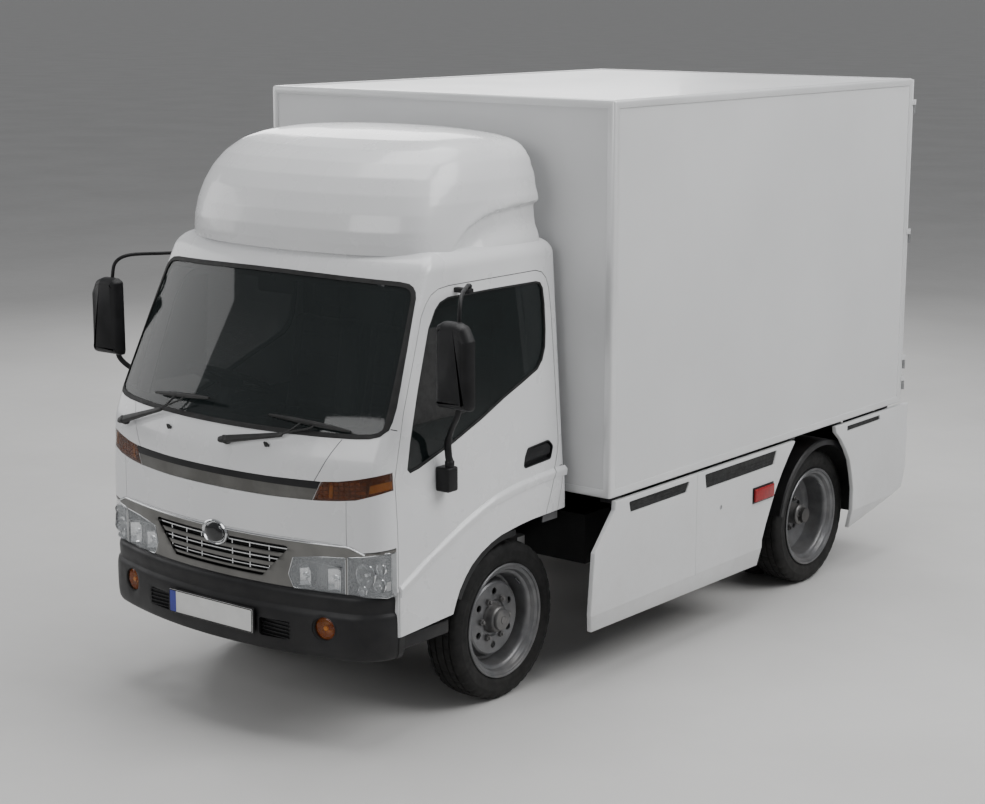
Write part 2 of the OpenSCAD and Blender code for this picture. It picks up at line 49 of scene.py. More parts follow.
def T(p):
    return (p[0] / 1000.0, (p[1] + OY) / 1000.0, p[2] / 1000.0)


def smooth(e0, e1, v):
    t = np.clip((v - e0) / (e1 - e0), 0, 1)
    return t * t * (3 - 2 * t)


# ---------------------------------------------------------------- materials
def new_mat(name):
    m = bpy.data.materials.new(name)
    m.use_nodes = True
    nt = m.node_tree
    b = nt.nodes["Principled BSDF"]
    return m, nt, b


def noise(nt, scale, detail=3.0, rough=0.5, stretch=None):
    n = nt.nodes.new("ShaderNodeTexNoise")
    n.inputs["Scale"].default_value = scale
    n.inputs["Detail"].default_value = detail
    n.inputs["Roughness"].default_value = rough
    tc = nt.nodes.new("ShaderNodeTexCoord")
    if stretch:
        mp = nt.nodes.new("ShaderNodeMapping")
        mp.inputs["Scale"].default_value = stretch
        nt.links.new(tc.outputs["Object"], mp.inputs["Vector"])
        nt.links.new(mp.outputs["Vector"], n.inputs["Vector"])
    else:
        nt.links.new(tc.outputs["Object"], n.inputs["Vector"])
    return n.outputs["Fac"]


def ramp(nt, fac, a, b, p0=0.35, p1=0.65):
    r = nt.nodes.new("ShaderNodeValToRGB")
    r.color_ramp.elements[0].position = p0
    r.color_ramp.elements[1].position = p1
    r.color_ramp.elements[0].color = (*a, 1) if len(a) == 3 else a
    r.color_ramp.elements[1].color = (*b, 1) if len(b) == 3 else b
    nt.links.new(fac, r.inputs["Fac"])
    return r.outputs["Color"]


def maprange(nt, fac, lo, hi, a=0.3, b=0.7):
    r = nt.nodes.new("ShaderNodeMapRange")
    r.inputs["From Min"].default_value = a
    r.inputs["From Max"].default_value = b
    r.inputs["To Min"].default_value = lo
    r.inputs["To Max"].default_value = hi
    nt.links.new(fac, r.inputs["Value"])
    return r.outputs["Result"]


def bump(nt, b, fac, strength, dist):
    n = nt.nodes.new("ShaderNodeBump")
    n.inputs["Strength"].default_value = strength
    n.inputs["Distance"].default_value = dist
    nt.links.new(fac, n.inputs["Height"])
    prev = b.inputs["Normal"].links
    if prev:
        nt.links.new(prev[0].from_socket, n.inputs["Normal"])
    nt.links.new(n.outputs["Normal"], b.inputs["Normal"])


def simple(name, c0, c1, rough=(0.3, 0.45), metal=0.0, scale=3.0, bumps=((400, 0.05, 0.0005),), coat=0.0, detail=4.0, alpha=1.0, spec=0.5, stretch=None, dirt=None, sheen=0.0):
    m, nt, b = new_mat(name)
    col = ramp(nt, noise(nt, scale, detail, 0.55, stretch), c0, c1)
    if dirt:
        # road dust that gathers low on the truck
        tc = nt.nodes.new("ShaderNodeTexCoord")
        sp = nt.nodes.new("ShaderNodeSeparateXYZ")
        nt.links.new(tc.outputs["Object"], sp.inputs[0])
        h = maprange(nt, sp.outputs["Z"], 1.0, 0.0, dirt[1], dirt[2])
        mu = nt.nodes.new("ShaderNodeMath"); mu.operation = "MULTIPLY"
        nt.links.new(h, mu.inputs[0])
        nt.links.new(maprange(nt, noise(nt, 9.0, 6.0, 0.65), 0.0, dirt[3], 0.35, 0.7), mu.inputs[1])
        mx = nt.nodes.new("ShaderNodeMix"); mx.data_type = "RGBA"
        nt.links.new(mu.outputs[0], mx.inputs["Factor"])
        nt.links.new(col, mx.inputs[6])
        mx.inputs[7].default_value = (*dirt[0], 1)
        col = mx.outputs[2]
    nt.links.new(col, b.inputs["Base Color"])
    nt.links.new(maprange(nt, noise(nt, scale * 2.3, 5.0, 0.6, stretch), rough[0], rough[1]), b.inputs["Roughness"])
    b.inputs["Metallic"].default_value = metal
    b.inputs["Specular IOR Level"].default_value = spec
    b.inputs["Coat Weight"].default_value = coat
    b.inputs["Coat Roughness"].default_value = 0.06
    b.inputs["Alpha"].default_value = alpha
    if sheen:
        b.inputs["Sheen Weight"].default_value = sheen
    for s, st, d in bumps:
        bump(nt, b, noise(nt, s, 2.0, 0.5, stretch), st, d)
    return m


DUST = (0.42, 0.40, 0.37)
M = {}
M["cab_white"] = simple("cab_paint", (0.66, 0.665, 0.675), (0.69, 0.695, 0.70), (0.24, 0.32), coat=0.45, scale=1.5, bumps=((260, 0.02, 0.0004), (2.0, 0.02, 0.004)), dirt=(DUST, 0.45, 1.0, 0.18))
M["box_white"] = simple("panel_paint", (0.60, 0.605, 0.61), (0.64, 0.645, 0.65), (0.36, 0.46), coat=0.12, scale=1.1, bumps=((180, 0.03, 0.0005), (1.2, 0.04, 0.008)), dirt=(DUST, 0.3, 1.1, 0.22))
M["aluminium"] = simple("aluminium_trim", (0.66, 0.67, 0.68), (0.76, 0.77, 0.78), (0.26, 0.38), metal=1.0, scale=4.0, bumps=((300, 0.06, 0.0004),), stretch=(1, 1, 1))
M["frame_paint"] = simple("frame_paint", (0.018, 0.018, 0.02), (0.035, 0.034, 0.033), (0.45, 0.65), scale=6, bumps=((160, 0.15, 0.0006),), dirt=((0.11, 0.10, 0.09), 0.2, 0.9, 0.5))
M["cast_metal"] = simple("cast_metal", (0.14, 0.14, 0.145), (0.22, 0.22, 0.22), (0.5, 0.7), metal=0.7, scale=8, bumps=((220, 0.35, 0.0012),))
M["steel"] = simple("plain_steel", (0.33, 0.34, 0.35), (0.45, 0.46, 0.47), (0.3, 0.5), metal=1.0, scale=12, bumps=((300, 0.15, 0.0006),))
M["rim_steel"] = simple("rim_paint", (0.12, 0.123, 0.128), (0.17, 0.172, 0.178), (0.3, 0.42), metal=0.55, scale=14, bumps=((240, 0.08, 0.0005),), dirt=((0.16, 0.14, 0.12), 0.0, 0.75, 0.35))
M["tyre"] = simple("tyre_rubber", (0.008, 0.008, 0.008), (0.015, 0.0148, 0.0145), (0.62, 0.82), scale=14, bumps=((380, 0.2, 0.0006), (40, 0.08, 0.001)), dirt=((0.045, 0.042, 0.038), 0.0, 0.5, 0.35), spec=0.25)
M["rubber"] = simple("seal_rubber", (0.010, 0.010, 0.010), (0.02, 0.02, 0.02), (0.5, 0.7), scale=20, bumps=((500, 0.15, 0.0004),), spec=0.35)
M["black_plastic"] = simple("black_moulding", (0.006, 0.006, 0.007), (0.013, 0.013, 0.014), (0.38, 0.5), scale=6, bumps=((700, 0.2, 0.0004), (90, 0.05, 0.0006)), spec=0.32, dirt=((0.045, 0.042, 0.038), 0.35, 0.8, 0.2))
M["dash_plastic"] = simple("dash_moulding", (0.055, 0.056, 0.06), (0.075, 0.076, 0.08), (0.5, 0.65), scale=9, bumps=((900, 0.3, 0.0004),))
M["plate_white"] = simple("plate_paint", (0.60, 0.60, 0.59), (0.66, 0.66, 0.65), (0.3, 0.4), scale=12, bumps=((500, 0.05, 0.0003),), coat=0.3)
M["chrome"] = simple("chrome", (0.55, 0.56, 0.57), (0.66, 0.67, 0.68), (0.05, 0.12), metal=1.0, scale=9, bumps=((60, 0.02, 0.0006),))
M["chrome_dark"] = simple("grille_chrome", (0.20, 0.205, 0.21), (0.28, 0.285, 0.29), (0.14, 0.24), metal=1.0, scale=9, bumps=((120, 0.03, 0.0006),))
M["seat_fabric"] = simple("seat_cloth", (0.05, 0.051, 0.055), (0.085, 0.087, 0.093), (0.8, 0.95), scale=60, bumps=((900, 0.5, 0.0008), (240, 0.2, 0.001)), sheen=0.3)
M["blue_band"] = simple("plate_band", (0.012, 0.02, 0.22), (0.018, 0.03, 0.28), (0.3, 0.4), scale=16, bumps=((500, 0.05, 0.0003),), coat=0.3)
M["deck_wood"] = simple("deck_ply", (0.12, 0.075, 0.04), (0.22, 0.15, 0.085), (0.55, 0.7), scale=5, bumps=((120, 0.2, 0.0006),), stretch=(1.0, 9.0, 9.0))
M["mirror_glass"] = simple("mirror_silver", (0.62, 0.64, 0.66), (0.7, 0.72, 0.74), (0.02, 0.05), metal=1.0, scale=5, bumps=((12, 0.01, 0.0004),))
M["reflector"] = simple("lamp_reflector", (0.62, 0.63, 0.64), (0.82, 0.83, 0.84), (0.04, 0.12), metal=1.0, scale=20, bumps=((22, 0.25, 0.004),))
M["red_lens"] = simple("red_lens", (0.20, 0.003, 0.005), (0.30, 0.006, 0.008), (0.1, 0.2), scale=60, bumps=((160, 0.12, 0.0006),), coat=0.12, spec=0.3)
# bright amber: the lamp's amber with painted glow, used on corner-lamp patches and the fog bowls
M["amber_glow"] = simple("amber_painted_glow", (0.90, 0.27, 0.01), (1.0, 0.42, 0.03), (0.12, 0.3), scale=50, metal=0.35, bumps=((90, 0.35, 0.002),), coat=0.5)


def glassy(name, col, alpha, rough=0.03, col2=None, fl=(3.0, 60.0)):
    m, nt, b = new_mat(name)
    c = ramp(nt, noise(nt, fl[0], 3), col, col2 or col)
    nt.links.new(c, b.inputs["Base Color"])
    nt.links.new(maprange(nt, noise(nt, fl[1], 3), rough, rough * 2.0), b.inputs["Roughness"])
    b.inputs["Alpha"].default_value = alpha
    b.inputs["Specular IOR Level"].default_value = 0.6
    bump(nt, b, noise(nt, 1.6, 2), 0.02, 0.004)
    return m


M["glass"] = glassy("tinted_glass", (0.006, 0.009, 0.009), 0.72, 0.02, (0.009, 0.013, 0.013))
M["wind_glass"] = glassy("windscreen_glass", (0.012, 0.016, 0.016), 0.55, 0.02, (0.016, 0.021, 0.021))
M["lamp_clear"] = glassy("clear_lens", (0.75, 0.78, 0.8), 0.16, 0.03, (0.8, 0.83, 0.85))
M["amber_lens"] = glassy("amber_lens", (0.05, 0.012, 0.001), 0.42, 0.05, (0.11, 0.024, 0.002), fl=(16.0, 40.0))
M["amber_bowl"] = simple("amber_bowl", (0.03, 0.008, 0.001), (0.08, 0.02, 0.002), (0.15, 0.3), scale=50, metal=0.4, bumps=((90, 0.35, 0.002),), coat=0.4)
# darker copy of the same amber: painted shade on the corner-lamp facets
M["amber_dim"] = simple("amber_dim", (0.07, 0.018, 0.004), (0.42, 0.12, 0.015), (0.12, 0.3), scale=50, metal=0.35, bumps=((90, 0.35, 0.002),), coat=0.5)

# garnish chrome with a dark base colour: painted dark reflection
M["garnish"] = simple("garnish_painted_dark_reflection", (0.15, 0.148, 0.142), (0.20, 0.197, 0.19), (0.12, 0.2), metal=1.0, scale=6, bumps=((90, 0.02, 0.0006),))
M["lamp_grey"] = simple("lamp_bezel", (0.045, 0.045, 0.048), (0.09, 0.09, 0.093), (0.2, 0.32), metal=0.8, scale=14, bumps=((120, 0.1, 0.0006),))
M["wiper_black"] = simple("wiper_coat", (0.006, 0.006, 0.006), (0.013, 0.013, 0.013), (0.4, 0.55), scale=30, bumps=((600, 0.1, 0.0003),))
M["mirror_black"] = simple("mirror_moulding", (0.004, 0.004, 0.0045), (0.009, 0.009, 0.01), (0.42, 0.55), scale=12, bumps=((1100, 0.18, 0.0003),), spec=0.28)
M["trim_silver"] = simple("trim_silver", (0.66, 0.665, 0.67), (0.72, 0.725, 0.73), (0.28, 0.36), metal=0.25, scale=2, bumps=((260, 0.03, 0.0003),), coat=0.2)
M["galvanised"] = simple("galvanised", (0.30, 0.305, 0.31), (0.42, 0.425, 0.43), (0.32, 0.48), metal=0.9, scale=30, bumps=((240, 0.1, 0.0005),))
M["strip_grey"] = simple("strip_metal", (0.12, 0.118, 0.11), (0.16, 0.158, 0.15), (0.3, 0.42), metal=0.6, scale=8, bumps=((300, 0.05, 0.0004),))


# ---------------------------------------------------------------- mesh tools
def obj_from(name, verts, faces, raw=False):
    me = bpy.data.meshes.new(name)
    me.from_pydata([T(v) for v in verts] if not raw else verts, [], [list(f) for f in faces])
    me.validate()
    o = bpy.data.objects.new(name, me)
    bpy.context.scene.collection.objects.link(o)
    return o


def drop(*objs):
    for o in objs:
        me = o.data
        bpy.data.objects.remove(o, do_unlink=True)
        if me and me.users == 0:
            bpy.data.meshes.remove(me)


def applied(o):
    dg = bpy.context.evaluated_depsgraph_get()
    dg.update()
    me = bpy.data.meshes.new_from_object(o.evaluated_get(dg))
    old = o.data
    o.modifiers.clear()
    o.data = me
    if old.users == 0:
        bpy.data.meshes.remove(old)
    return o


def cut(o, c, op="DIFFERENCE", keep=False):
    n0 = len(o.data.polygons)
    for solver in ("MANIFOLD", "EXACT"):
        m = o.modifiers.new("b", "BOOLEAN")
        m.operation = op
        m.object = c
        m.solver = solver
        dg = bpy.context.evaluated_depsgraph_get()
        dg.update()
        me = bpy.data.meshes.new_from_object(o.evaluated_get(dg))
        o.modifiers.clear()
        same = len(me.polygons) == n0 and len(me.vertices) == len(o.data.vertices)
        if len(me.polygons) and not same:
            break
        if solver == "MANIFOLD":
            bpy.data.meshes.remove(me)
            print("boolean fell back to EXACT:", o.name, c.name)
    old = o.data
    o.data = me
    if old.users == 0:
        bpy.data.meshes.remove(old)
    if not keep:
        drop(c)
    return o


def prism_yz(pts, x0, x1, name="c"):
    """closed prism of a (y, z) outline between two x values"""
    n = len(pts)
    v = [(x0, p[0], p[1]) for p in pts] + [(x1, p[0], p[1]) for p in pts]
    area = sum(pts[i][0] * pts[(i + 1) % n][1] - pts[(i + 1) % n][0] * pts[i][1] for i in range(n))
    f = [list(range(n))[::-1], list(range(n, 2 * n))] + [(i, (i + 1) % n, (i + 1) % n + n, i + n) for i in range(n)]
    if (area < 0) != (x1 < x0):
        f = [tuple(reversed(q)) for q in f]
    return obj_from(name, v, f)


def prism_xz(pts, y0, y1, name="c"):
    n = len(pts)
    v = [(p[0], y0, p[1]) for p in pts] + [(p[0], y1, p[1]) for p in pts]
    area = sum(pts[i][0] * pts[(i + 1) % n][1] - pts[(i + 1) % n][0] * pts[i][1] for i in range(n))
    f = [list(range(n)), list(range(n, 2 * n))[::-1]] + [(i, i + n, (i + 1) % n + n, (i + 1) % n) for i in range(n)]
    if (area < 0) != (y1 < y0):
        f = [tuple(reversed(q)) for q in f]
    return obj_from(name, v, f)


def prism_xy(pts, z0, z1, name="c"):
    n = len(pts)
    v = [(p[0], p[1], z0) for p in pts] + [(p[0], p[1], z1) for p in pts]
    area = sum(pts[i][0] * pts[(i + 1) % n][1] - pts[(i + 1) % n][0] * pts[i][1] for i in range(n))
    f = [list(range(n))[::-1], list(range(n, 2 * n))] + [(i, (i + 1) % n, (i + 1) % n + n, i + n) for i in range(n)]
    if (area < 0) != (z1 < z0):
        f = [tuple(reversed(q)) for q in f]
    return obj_from(name, v, f)


def box(x0, x1, y0, y1, z0, z1, r=0.0, seg=3, name="bx"):
    o = prism_xy([(x0, y0), (x1, y0), (x1, y1), (x0, y1)], z0, z1, name)
    if r:
        bevel(o, r, seg, 30)
    return o


def bevel(o, width, seg=3, angle=30, profile=0.5):
    m = o.modifiers.new("bv", "BEVEL")
    m.width = width / 1000.0
    m.segments = seg
    m.limit_method = "ANGLE"
    m.angle_limit = math.radians(angle)
    m.profile = profile
    m.use_clamp_overlap = True
    return applied(o)


def subsurf(o, lv=2):
    m = o.modifiers.new("ss", "SUBSURF")
    m.levels = lv
    m.render_levels = lv
    return applied(o)


def revolve(profile, centre, axis="x", n=64, name="rv", a0=0.0, a1=360.0):
    """profile of (along, radius) pairs; radius 0 at an end closes it"""
    v, f = [], []
    full = abs(a1 - a0) >= 360
    m = n if full else n + 1
    rings = []
    for (s, r) in profile:
        if r <= 1e-6:
            rings.append([len(v)])
            v.append((s, 0.0, 0.0))
        else:
            ring = []
            for i in range(m):
                a = math.radians(a0 + (a1 - a0) * i / n)
                ring.append(len(v))
                v.append((s, r * math.cos(a), r * math.sin(a)))
            rings.append(ring)
    for a, b in zip(rings[:-1], rings[1:]):
        for i in range(n):
            j = (i + 1) % m if full else i + 1
            if len(a) == 1 and len(b) == 1:
                continue
            if len(a) == 1:
                f.append((a[0], b[i], b[j]))
            elif len(b) == 1:
                f.append((a[i], b[0], a[j]))
            else:
                f.append((a[i], b[i], b[j], a[j]))
    out = []
    for p in v:
        if axis == "x":
            q = (p[0], p[1], p[2])
        elif axis == "y":
            q = (p[1], p[0], p[2])
        else:
            q = (p[1], p[2], p[0])
        out.append((q[0] + centre[0], q[1] + centre[1], q[2] + centre[2]))
    o = obj_from(name, out, f)
    fix_normals(o)
    return o


def fix_normals(o):
    bm = bmesh.new()
    bm.from_mesh(o.data)
    bmesh.ops.recalc_face_normals(bm, faces=bm.faces)
    bm.to_mesh(o.data)
    bm.free()


def catmull(pts, per=8, closed=False):
    P = [np.array(p, float) for p in pts]
    n = len(P)
    out = []
    rng = n if closed else n - 1
    for i in range(rng):
        p0 = P[(i - 1) % n] if closed or i > 0 else 2 * P[0] - P[1]
        p1 = P[i]
        p2 = P[(i + 1) % n]
        p3 = P[(i + 2) % n] if closed or i + 2 < n else 2 * P[-1] - P[-2]
        for k in range(per):
            t = k / per
            out.append(0.5 * (2 * p1 + (p2 - p0) * t + (2 * p0 - 5 * p1 + 4 * p2 - p3) * t * t + (3 * p1 - p0 - 3 * p2 + p3) * t ** 3))
    if not closed:
        out.append(P[-1])
    return [tuple(p) for p in out]


def rounded_poly(pts, r, seg=5):
    """rounds each corner of a 2D polygon; r may be one number or a list"""
    n = len(pts)
    out = []
    for i in range(n):
        p = np.array(pts[i], float)
        a = np.array(pts[i - 1], float) - p
        b = np.array(pts[(i + 1) % n], float) - p
        ri = r[i] if isinstance(r, (list, tuple)) else r
        la, lb = np.linalg.norm(a), np.linalg.norm(b)
        if ri <= 0 or la < 1e-6 or lb < 1e-6:
            out.append(tuple(p)); continue
        a, b = a / la, b / lb
        ang = math.acos(max(-1, min(1, float(a @ b))))
        d = min(ri / math.tan(ang / 2), la * 0.48, lb * 0.48)
        p0, p1 = p + a * d, p + b * d
        for k in range(seg + 1):
            t = k / seg
            out.append(tuple((1 - t) ** 2 * p0 + 2 * t * (1 - t) * p + t * t * p1))
    return out


def inset_poly(pts, d):
    n = len(pts)
    area = sum(pts[i][0] * pts[(i + 1) % n][1] - pts[(i + 1) % n][0] * pts[i][1] for i in range(n))
    s = 1.0 if area > 0 else -1.0
    out = []
    for i in range(n):
        p = np.array(pts[i], float)
        a = p - np.array(pts[i - 1], float)
        b = np.array(pts[(i + 1) % n], float) - p
        a /= max(1e-9, np.linalg.norm(a)); b /= max(1e-9, np.linalg.norm(b))
        na, nb = np.array([-a[1], a[0]]) * s, np.array([-b[1], b[0]]) * s
        m = na + nb
        L = np.linalg.norm(m)
        if L < 1e-6:
            m, L = na, 1.0
        m = m / L
        k = d / max(0.35, float(m @ na))
        out.append(tuple(p + m * k))
    return out


def tube(path, r, n=12, name="tb", closed=False, cap=True):
    P = [np.array(p, float) for p in path]
    m = len(P)
    v, f = [], []
    up = np.array([0.0, 0.0, 1.0])
    prev = None
    rr = r if isinstance(r, (list, tuple)) else [r] * m
    for i in range(m):
        a = P[(i + 1) % m] if closed or i < m - 1 else P[i]
        b = P[i - 1] if closed or i > 0 else P[i]
        t = a - b
        t /= np.linalg.norm(t)
        if prev is None:
            ref = up if abs(t[2]) < 0.9 else np.array([1.0, 0, 0])
            u = np.cross(t, ref)
        else:
            u = prev - t * (prev @ t)
        u /= np.linalg.norm(u)
        w = np.cross(t, u)
        prev = u
        for k in range(n):
            an = 2 * math.pi * k / n
            v.append(tuple(P[i] + rr[i] * (u * math.cos(an) + w * math.sin(an))))
    for i in range(m if closed else m - 1):
        j = (i + 1) % m
        for k in range(n):
            l = (k + 1) % n
            f.append((i * n + k, i * n + l, j * n + l, j * n + k))
    if cap and not closed:
        f.append(tuple(range(n))[::-1])
        f.append(tuple(range((m - 1) * n, m * n)))
    o = obj_from(name, v, f)
    fix_normals(o)
    return o


def join(objs, name):
    objs = [o for o in objs if o is not None]
    bm = bmesh.new()
    mats = []
    for o in objs:
        me = o.data
        start = len(bm.faces)
        bm.from_mesh(me)
        bm.faces.ensure_lookup_table()
        mm = list(me.materials)
        remap = {}
        for k, mt in enumerate(mm):
            if mt not in mats:
                mats.append(mt)
            remap[k] = mats.index(mt)
        for fc in bm.faces[start:]:
            fc.material_index = remap.get(fc.material_index, 0)
    me = bpy.data.meshes.new(name)
    bm.to_mesh(me)
    bm.free()
    for mt in mats:
        me.materials.append(mt)
    drop(*objs)
    o = bpy.data.objects.new(name, me)
    bpy.context.scene.collection.objects.link(o)
    return o


def mirror_copy(o, name=None):
    me = o.data.copy()
    n = len(me.vertices)
    co = np.empty(n * 3, "f")
    me.vertices.foreach_get("co", co)
    co = co.reshape(-1, 3)
    co[:, 0] *= -1
    me.vertices.foreach_set("co", co.ravel())
    me.flip_normals()
    q = bpy.data.objects.new(name or o.name + "_m", me)
    bpy.context.scene.collection.objects.link(q)
    return q


def both(o, name=None):
    return join([mirror_copy(o), o], name or o.name)


def paint(o, mat):
    o.data.materials.clear()
    o.data.materials.append(M[mat] if isinstance(mat, str) else mat)
    return o


def shade(o, angle=32):
    """smooth where faces meet gently, sharp elsewhere"""
    me = o.data
    bm = bmesh.new()
    bm.from_mesh(me)
    bmesh.ops.remove_doubles(bm, verts=bm.verts, dist=2e-6)
    ca = math.cos(math.radians(angle))
    for fc in bm.faces:
        fc.smooth = True
    for e in bm.edges:
        if len(e.link_faces) == 2:
            e.smooth = e.link_faces[0].normal.dot(e.link_faces[1].normal) > ca
        else:
            e.smooth = False
    bm.to_mesh(me)
    bm.free()
    return o


def fin(o, body, mat=None, replaces=(), angle=32, name=None, shaded=True):
    if name:
        o.name = name
        o.data.name = name
    if mat:
        paint(o, mat)
    if shaded:
        shade(o, angle)
    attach(o, body)
    for r in replaces:
        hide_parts(r)
    return o


# ---------------------------------------------------------------- the cab's master surface
def smax(a, b, k):
    return 0.5 * (a + b + np.sqrt((a - b) ** 2 + k * k))


R0 = 2300.0


def w_of(z):
    return 847.0 - 0.06845 * smax(0.0, z - 950.0, 60.0)


def yf_of(z):
    return smax(-1044.0, -1000.0 + (z - 1354.0) * 0.5095, 30.0)


def rc_of(z):
    return float(np.interp(z, [1150, 1400], [95, 44]))


Z_ROOF, R_ROOF = 2022.0, 76.0
CREASE = [(-860, 690), (-802, 713), (-700, 762), (-613, 807), (-480, 864), (-343, 920), (-240, 955), (-141, 983), (-30, 1000), (76, 1011), (190, 1019), (301, 1023), (400, 1024)]
CY = [p[0] for p in CREASE]
CZ = [p[1] for p in CREASE]


def section(z, o, y_back=392.0):
    """closed outline of the cab at height z, inset by o, counter-clockwise from above"""
    zz = min(z, Z_ROOF + R_ROOF - 0.5)
    t = max(0.0, (zz - Z_ROOF) / R_ROOF)
    d = o + R_ROOF * (1 - math.sqrt(max(0.0, 1 - t * t)))
    w, yf, rc = w_of(zz), yf_of(zz), rc_of(zz)
    R = R0 - d
    yb = y_back - d
    w = w - d
    rc = max(14.0, rc - 0.6 * o)
    yc = yf + R0
    cx = w - rc
    cy = yc - math.sqrt((R - rc) ** 2 - cx * cx)
    a1 = math.atan2(cx, yc - cy)
    pts = []
    for k in range(17):
        a = a1 * k / 16
        pts.append((R * math.sin(a), yc - R * math.cos(a)))
    for k in range(1, 11):
        a = a1 + (math.pi / 2 - a1) * k / 10
        pts.append((cx + rc * math.sin(a), cy - rc * math.cos(a)))
    rb = 26.0
    ys = cy
    n = 54
    for k in range(1, n):
        y = ys + (yb - rb - ys) * k / n
        fl = 0.0
        if o < 30:
            zc = float(np.interp(y, CY, CZ))
            fl = 9.0 * float(smooth(zc + 7.0, zc - 7.0, z)) * float(smooth(-860, -800, y))
        pts.append((w + fl, y))
    fl = 9.0 * float(smooth(1024 + 7, 1024 - 7, z)) if o < 30 else 0.0
    for k in range(6):
        a = math.pi / 2 * k / 5
        pts.append((w + fl * math.cos(a) - rb + rb * math.cos(a), yb - rb + rb * math.sin(a)))
    for k in range(1, 7):
        pts.append(((w - rb) * (1 - k / 6), yb))
    half = pts
    other = [(-x, y) for (x, y) in half[1:-1]][::-1]
    return half + other


def master(o, z0, z1, dz, y_back=392.0, name="master"):
    zs = list(np.arange(z0, Z_ROOF, dz)) + [Z_ROOF + R_ROOF * math.sin(math.pi / 2 * k / 9) for k in range(10)]
    zs = [z for z in zs if z <= z1 + 1e-6]
    top = zs[-1]
    v, f = [], []
    for z in zs:
        s = section(z, o, y_back)
        n = len(s)
        v += [(x, y, min(z, Z_ROOF + R_ROOF - 0.5) - (o * float(smooth(Z_ROOF - 40, Z_ROOF + R_ROOF, z)))) for x, y in s]
    m = len(zs)
    for i in range(m - 1):
        for k in range(n):
            l = (k + 1) % n
            f.append((i * n + k, i * n + l, (i + 1) * n + l, (i + 1) * n + k))
    f.append(tuple(range(n))[::-1])
    # the roof closes with a slightly crowned fan
    c = len(v)
    v.append((0, -130, v[(m - 1) * n][2] + 10))
    for k in range(n):
        f.append(((m - 1) * n + k, (m - 1) * n + (k + 1) % n, c))
    return obj_from(name, v, f)


S0 = master(0.0, 430, 2200, 11.0, name="S0")
me0 = S0.data
bvh0 = BVHTree.FromObject(S0, bpy.context.evaluated_depsgraph_get())
nv = len(me0.vertices)
n0 = np.empty(nv * 3, "f")
me0.vertices.foreach_get("normal", n0)
n0 = n0.reshape(-1, 3)
co0 = np.empty(nv * 3, "f")
me0.vertices.foreach_get("co", co0)
co0 = co0.reshape(-1, 3)
poly0 = [list(p.vertices) for p in me0.polygons]


def skin_normals(o, tol=0.0009, angle=32, depth=0.0):
    """gives faces that lie on the cab's skin the uncut skin's smooth normals"""
    shade(o, angle)
    me = o.data
    ln = np.empty(len(me.loops) * 3, "f")
    me.corner_normals.foreach_get("vector", ln)
    ln = ln.reshape(-1, 3)
    cache = {}
    tol = tol + depth
    for p in me.polygons:
        c = p.center
        loc, nn, idx, dist = bvh0.find_nearest(c)
        if loc is None or dist > tol or nn.dot(p.normal) < 0.8:
            continue
        for li in p.loop_indices:
            vi = me.loops[li].vertex_index
            if vi not in cache:
                q = me.vertices[vi].co
                loc, nn, idx, dist = bvh0.find_nearest(q)
                if loc is None:
                    cache[vi] = None
                    continue
                vs = poly0[idx]
                if len(vs) > 4:
                    cache[vi] = None
                    continue
                pc = co0[vs] - np.array(loc)
                wts = 1.0 / (np.einsum("ij,ij->i", pc, pc) + 1e-10)
                nrm = (n0[vs] * wts[:, None]).sum(0)
                cache[vi] = nrm / np.linalg.norm(nrm)
            if cache[vi] is not None and Vector(cache[vi]).dot(p.normal) > 0.7:
                ln[li] = cache[vi]
    me.normals_split_custom_set([tuple(x) for x in ln])
    return o


def skin(a, b, name="skin", z0=430, dz=22.0):
    """layer of the cab's surface between insets a and b"""
    A = master(a, z0, 2200, 11.0 if a < 12 else dz, name=name)
    B = master(b, z0 - 50, 2200, dz, y_back=392.0, name="in")
    cut(A, B)
    return A


DOOR = [(-803, 498), (-803, 1190), (-789, 1235), (-723, 1458), (-633, 1687), (-573, 1845), (-540, 1893), (-500, 1930), (-450, 1950), (-380, 1957), (240, 1957), (285, 1945), (316, 1915), (332, 1868), (341, 1780), (346, 1589), (349, 1344), (350, 1157), (340, 1110), (325, 1063), (292, 985), (232, 843), (222, 790), (222, 498)]
WIN = [(-719, 1215), (-700, 1196), (-640, 1206), (-409, 1273), (-200, 1346), (-32, 1414), (110, 1464), (222, 1506), (262, 1545), (286, 1600), (296, 1680), (297, 1800), (290, 1870), (272, 1898), (240, 1907), (-100, 1910), (-389, 1908), (-445, 1892), (-480, 1864), (-531, 1787), (-578, 1660), (-624, 1534), (-690, 1330)]
WS = [(0, 1352), (200, 1352), (369, 1353), (560, 1354), (690, 1357), (750, 1362), (790, 1373), (812, 1398), (813, 1430), (810, 1486), (803, 1570), (796, 1640), (788, 1720), (779, 1796), (770, 1870), (764, 1920), (756, 1946), (740, 1966), (716, 1979), (670, 1985), (488, 1991), (300, 1997), (100, 2001)]
WS = WS + [(-x, z) for x, z in WS[1:]][::-1] if WS[0][0] == 0 else WS
LOWER = [(-1300, 380), (-1300, 704), (-806, 704), (-806, 505), (-448, 522), (-425, 575), (-402, 619), (-362, 671), (-318, 714), (-250, 757), (-176, 788), (-105, 807), (-30, 817), (45, 826), (119, 832), (365, 839), (600, 842), (600, 380)]
STRIP = [(-565, 1173), (-300, 1169), (0, 1169), (300, 1169), (565, 1173), (525, 1088), (300, 1083), (0, 1083), (-300, 1083), (-525, 1088)]
AMBER = [(566, 1173), (640, 1180), (720, 1194), (800, 1214), (870, 1233), (870, 1160), (800, 1132), (720, 1106), (640, 1096), (560, 1090), (526, 1088)]
GARN = [(0, 905), (200, 905), (464, 903), (640, 908), (700, 904), (722, 893), (748, 882), (800, 890), (870, 904), (870, 690), (0, 690)]
GARN = GARN + [(-x, z) for x, z in GARN[1:-1]][::-1]
LAMP = [(428, 826), (405, 752), (430, 696), (560, 690), (672, 690), (672, 852), (560, 846)]
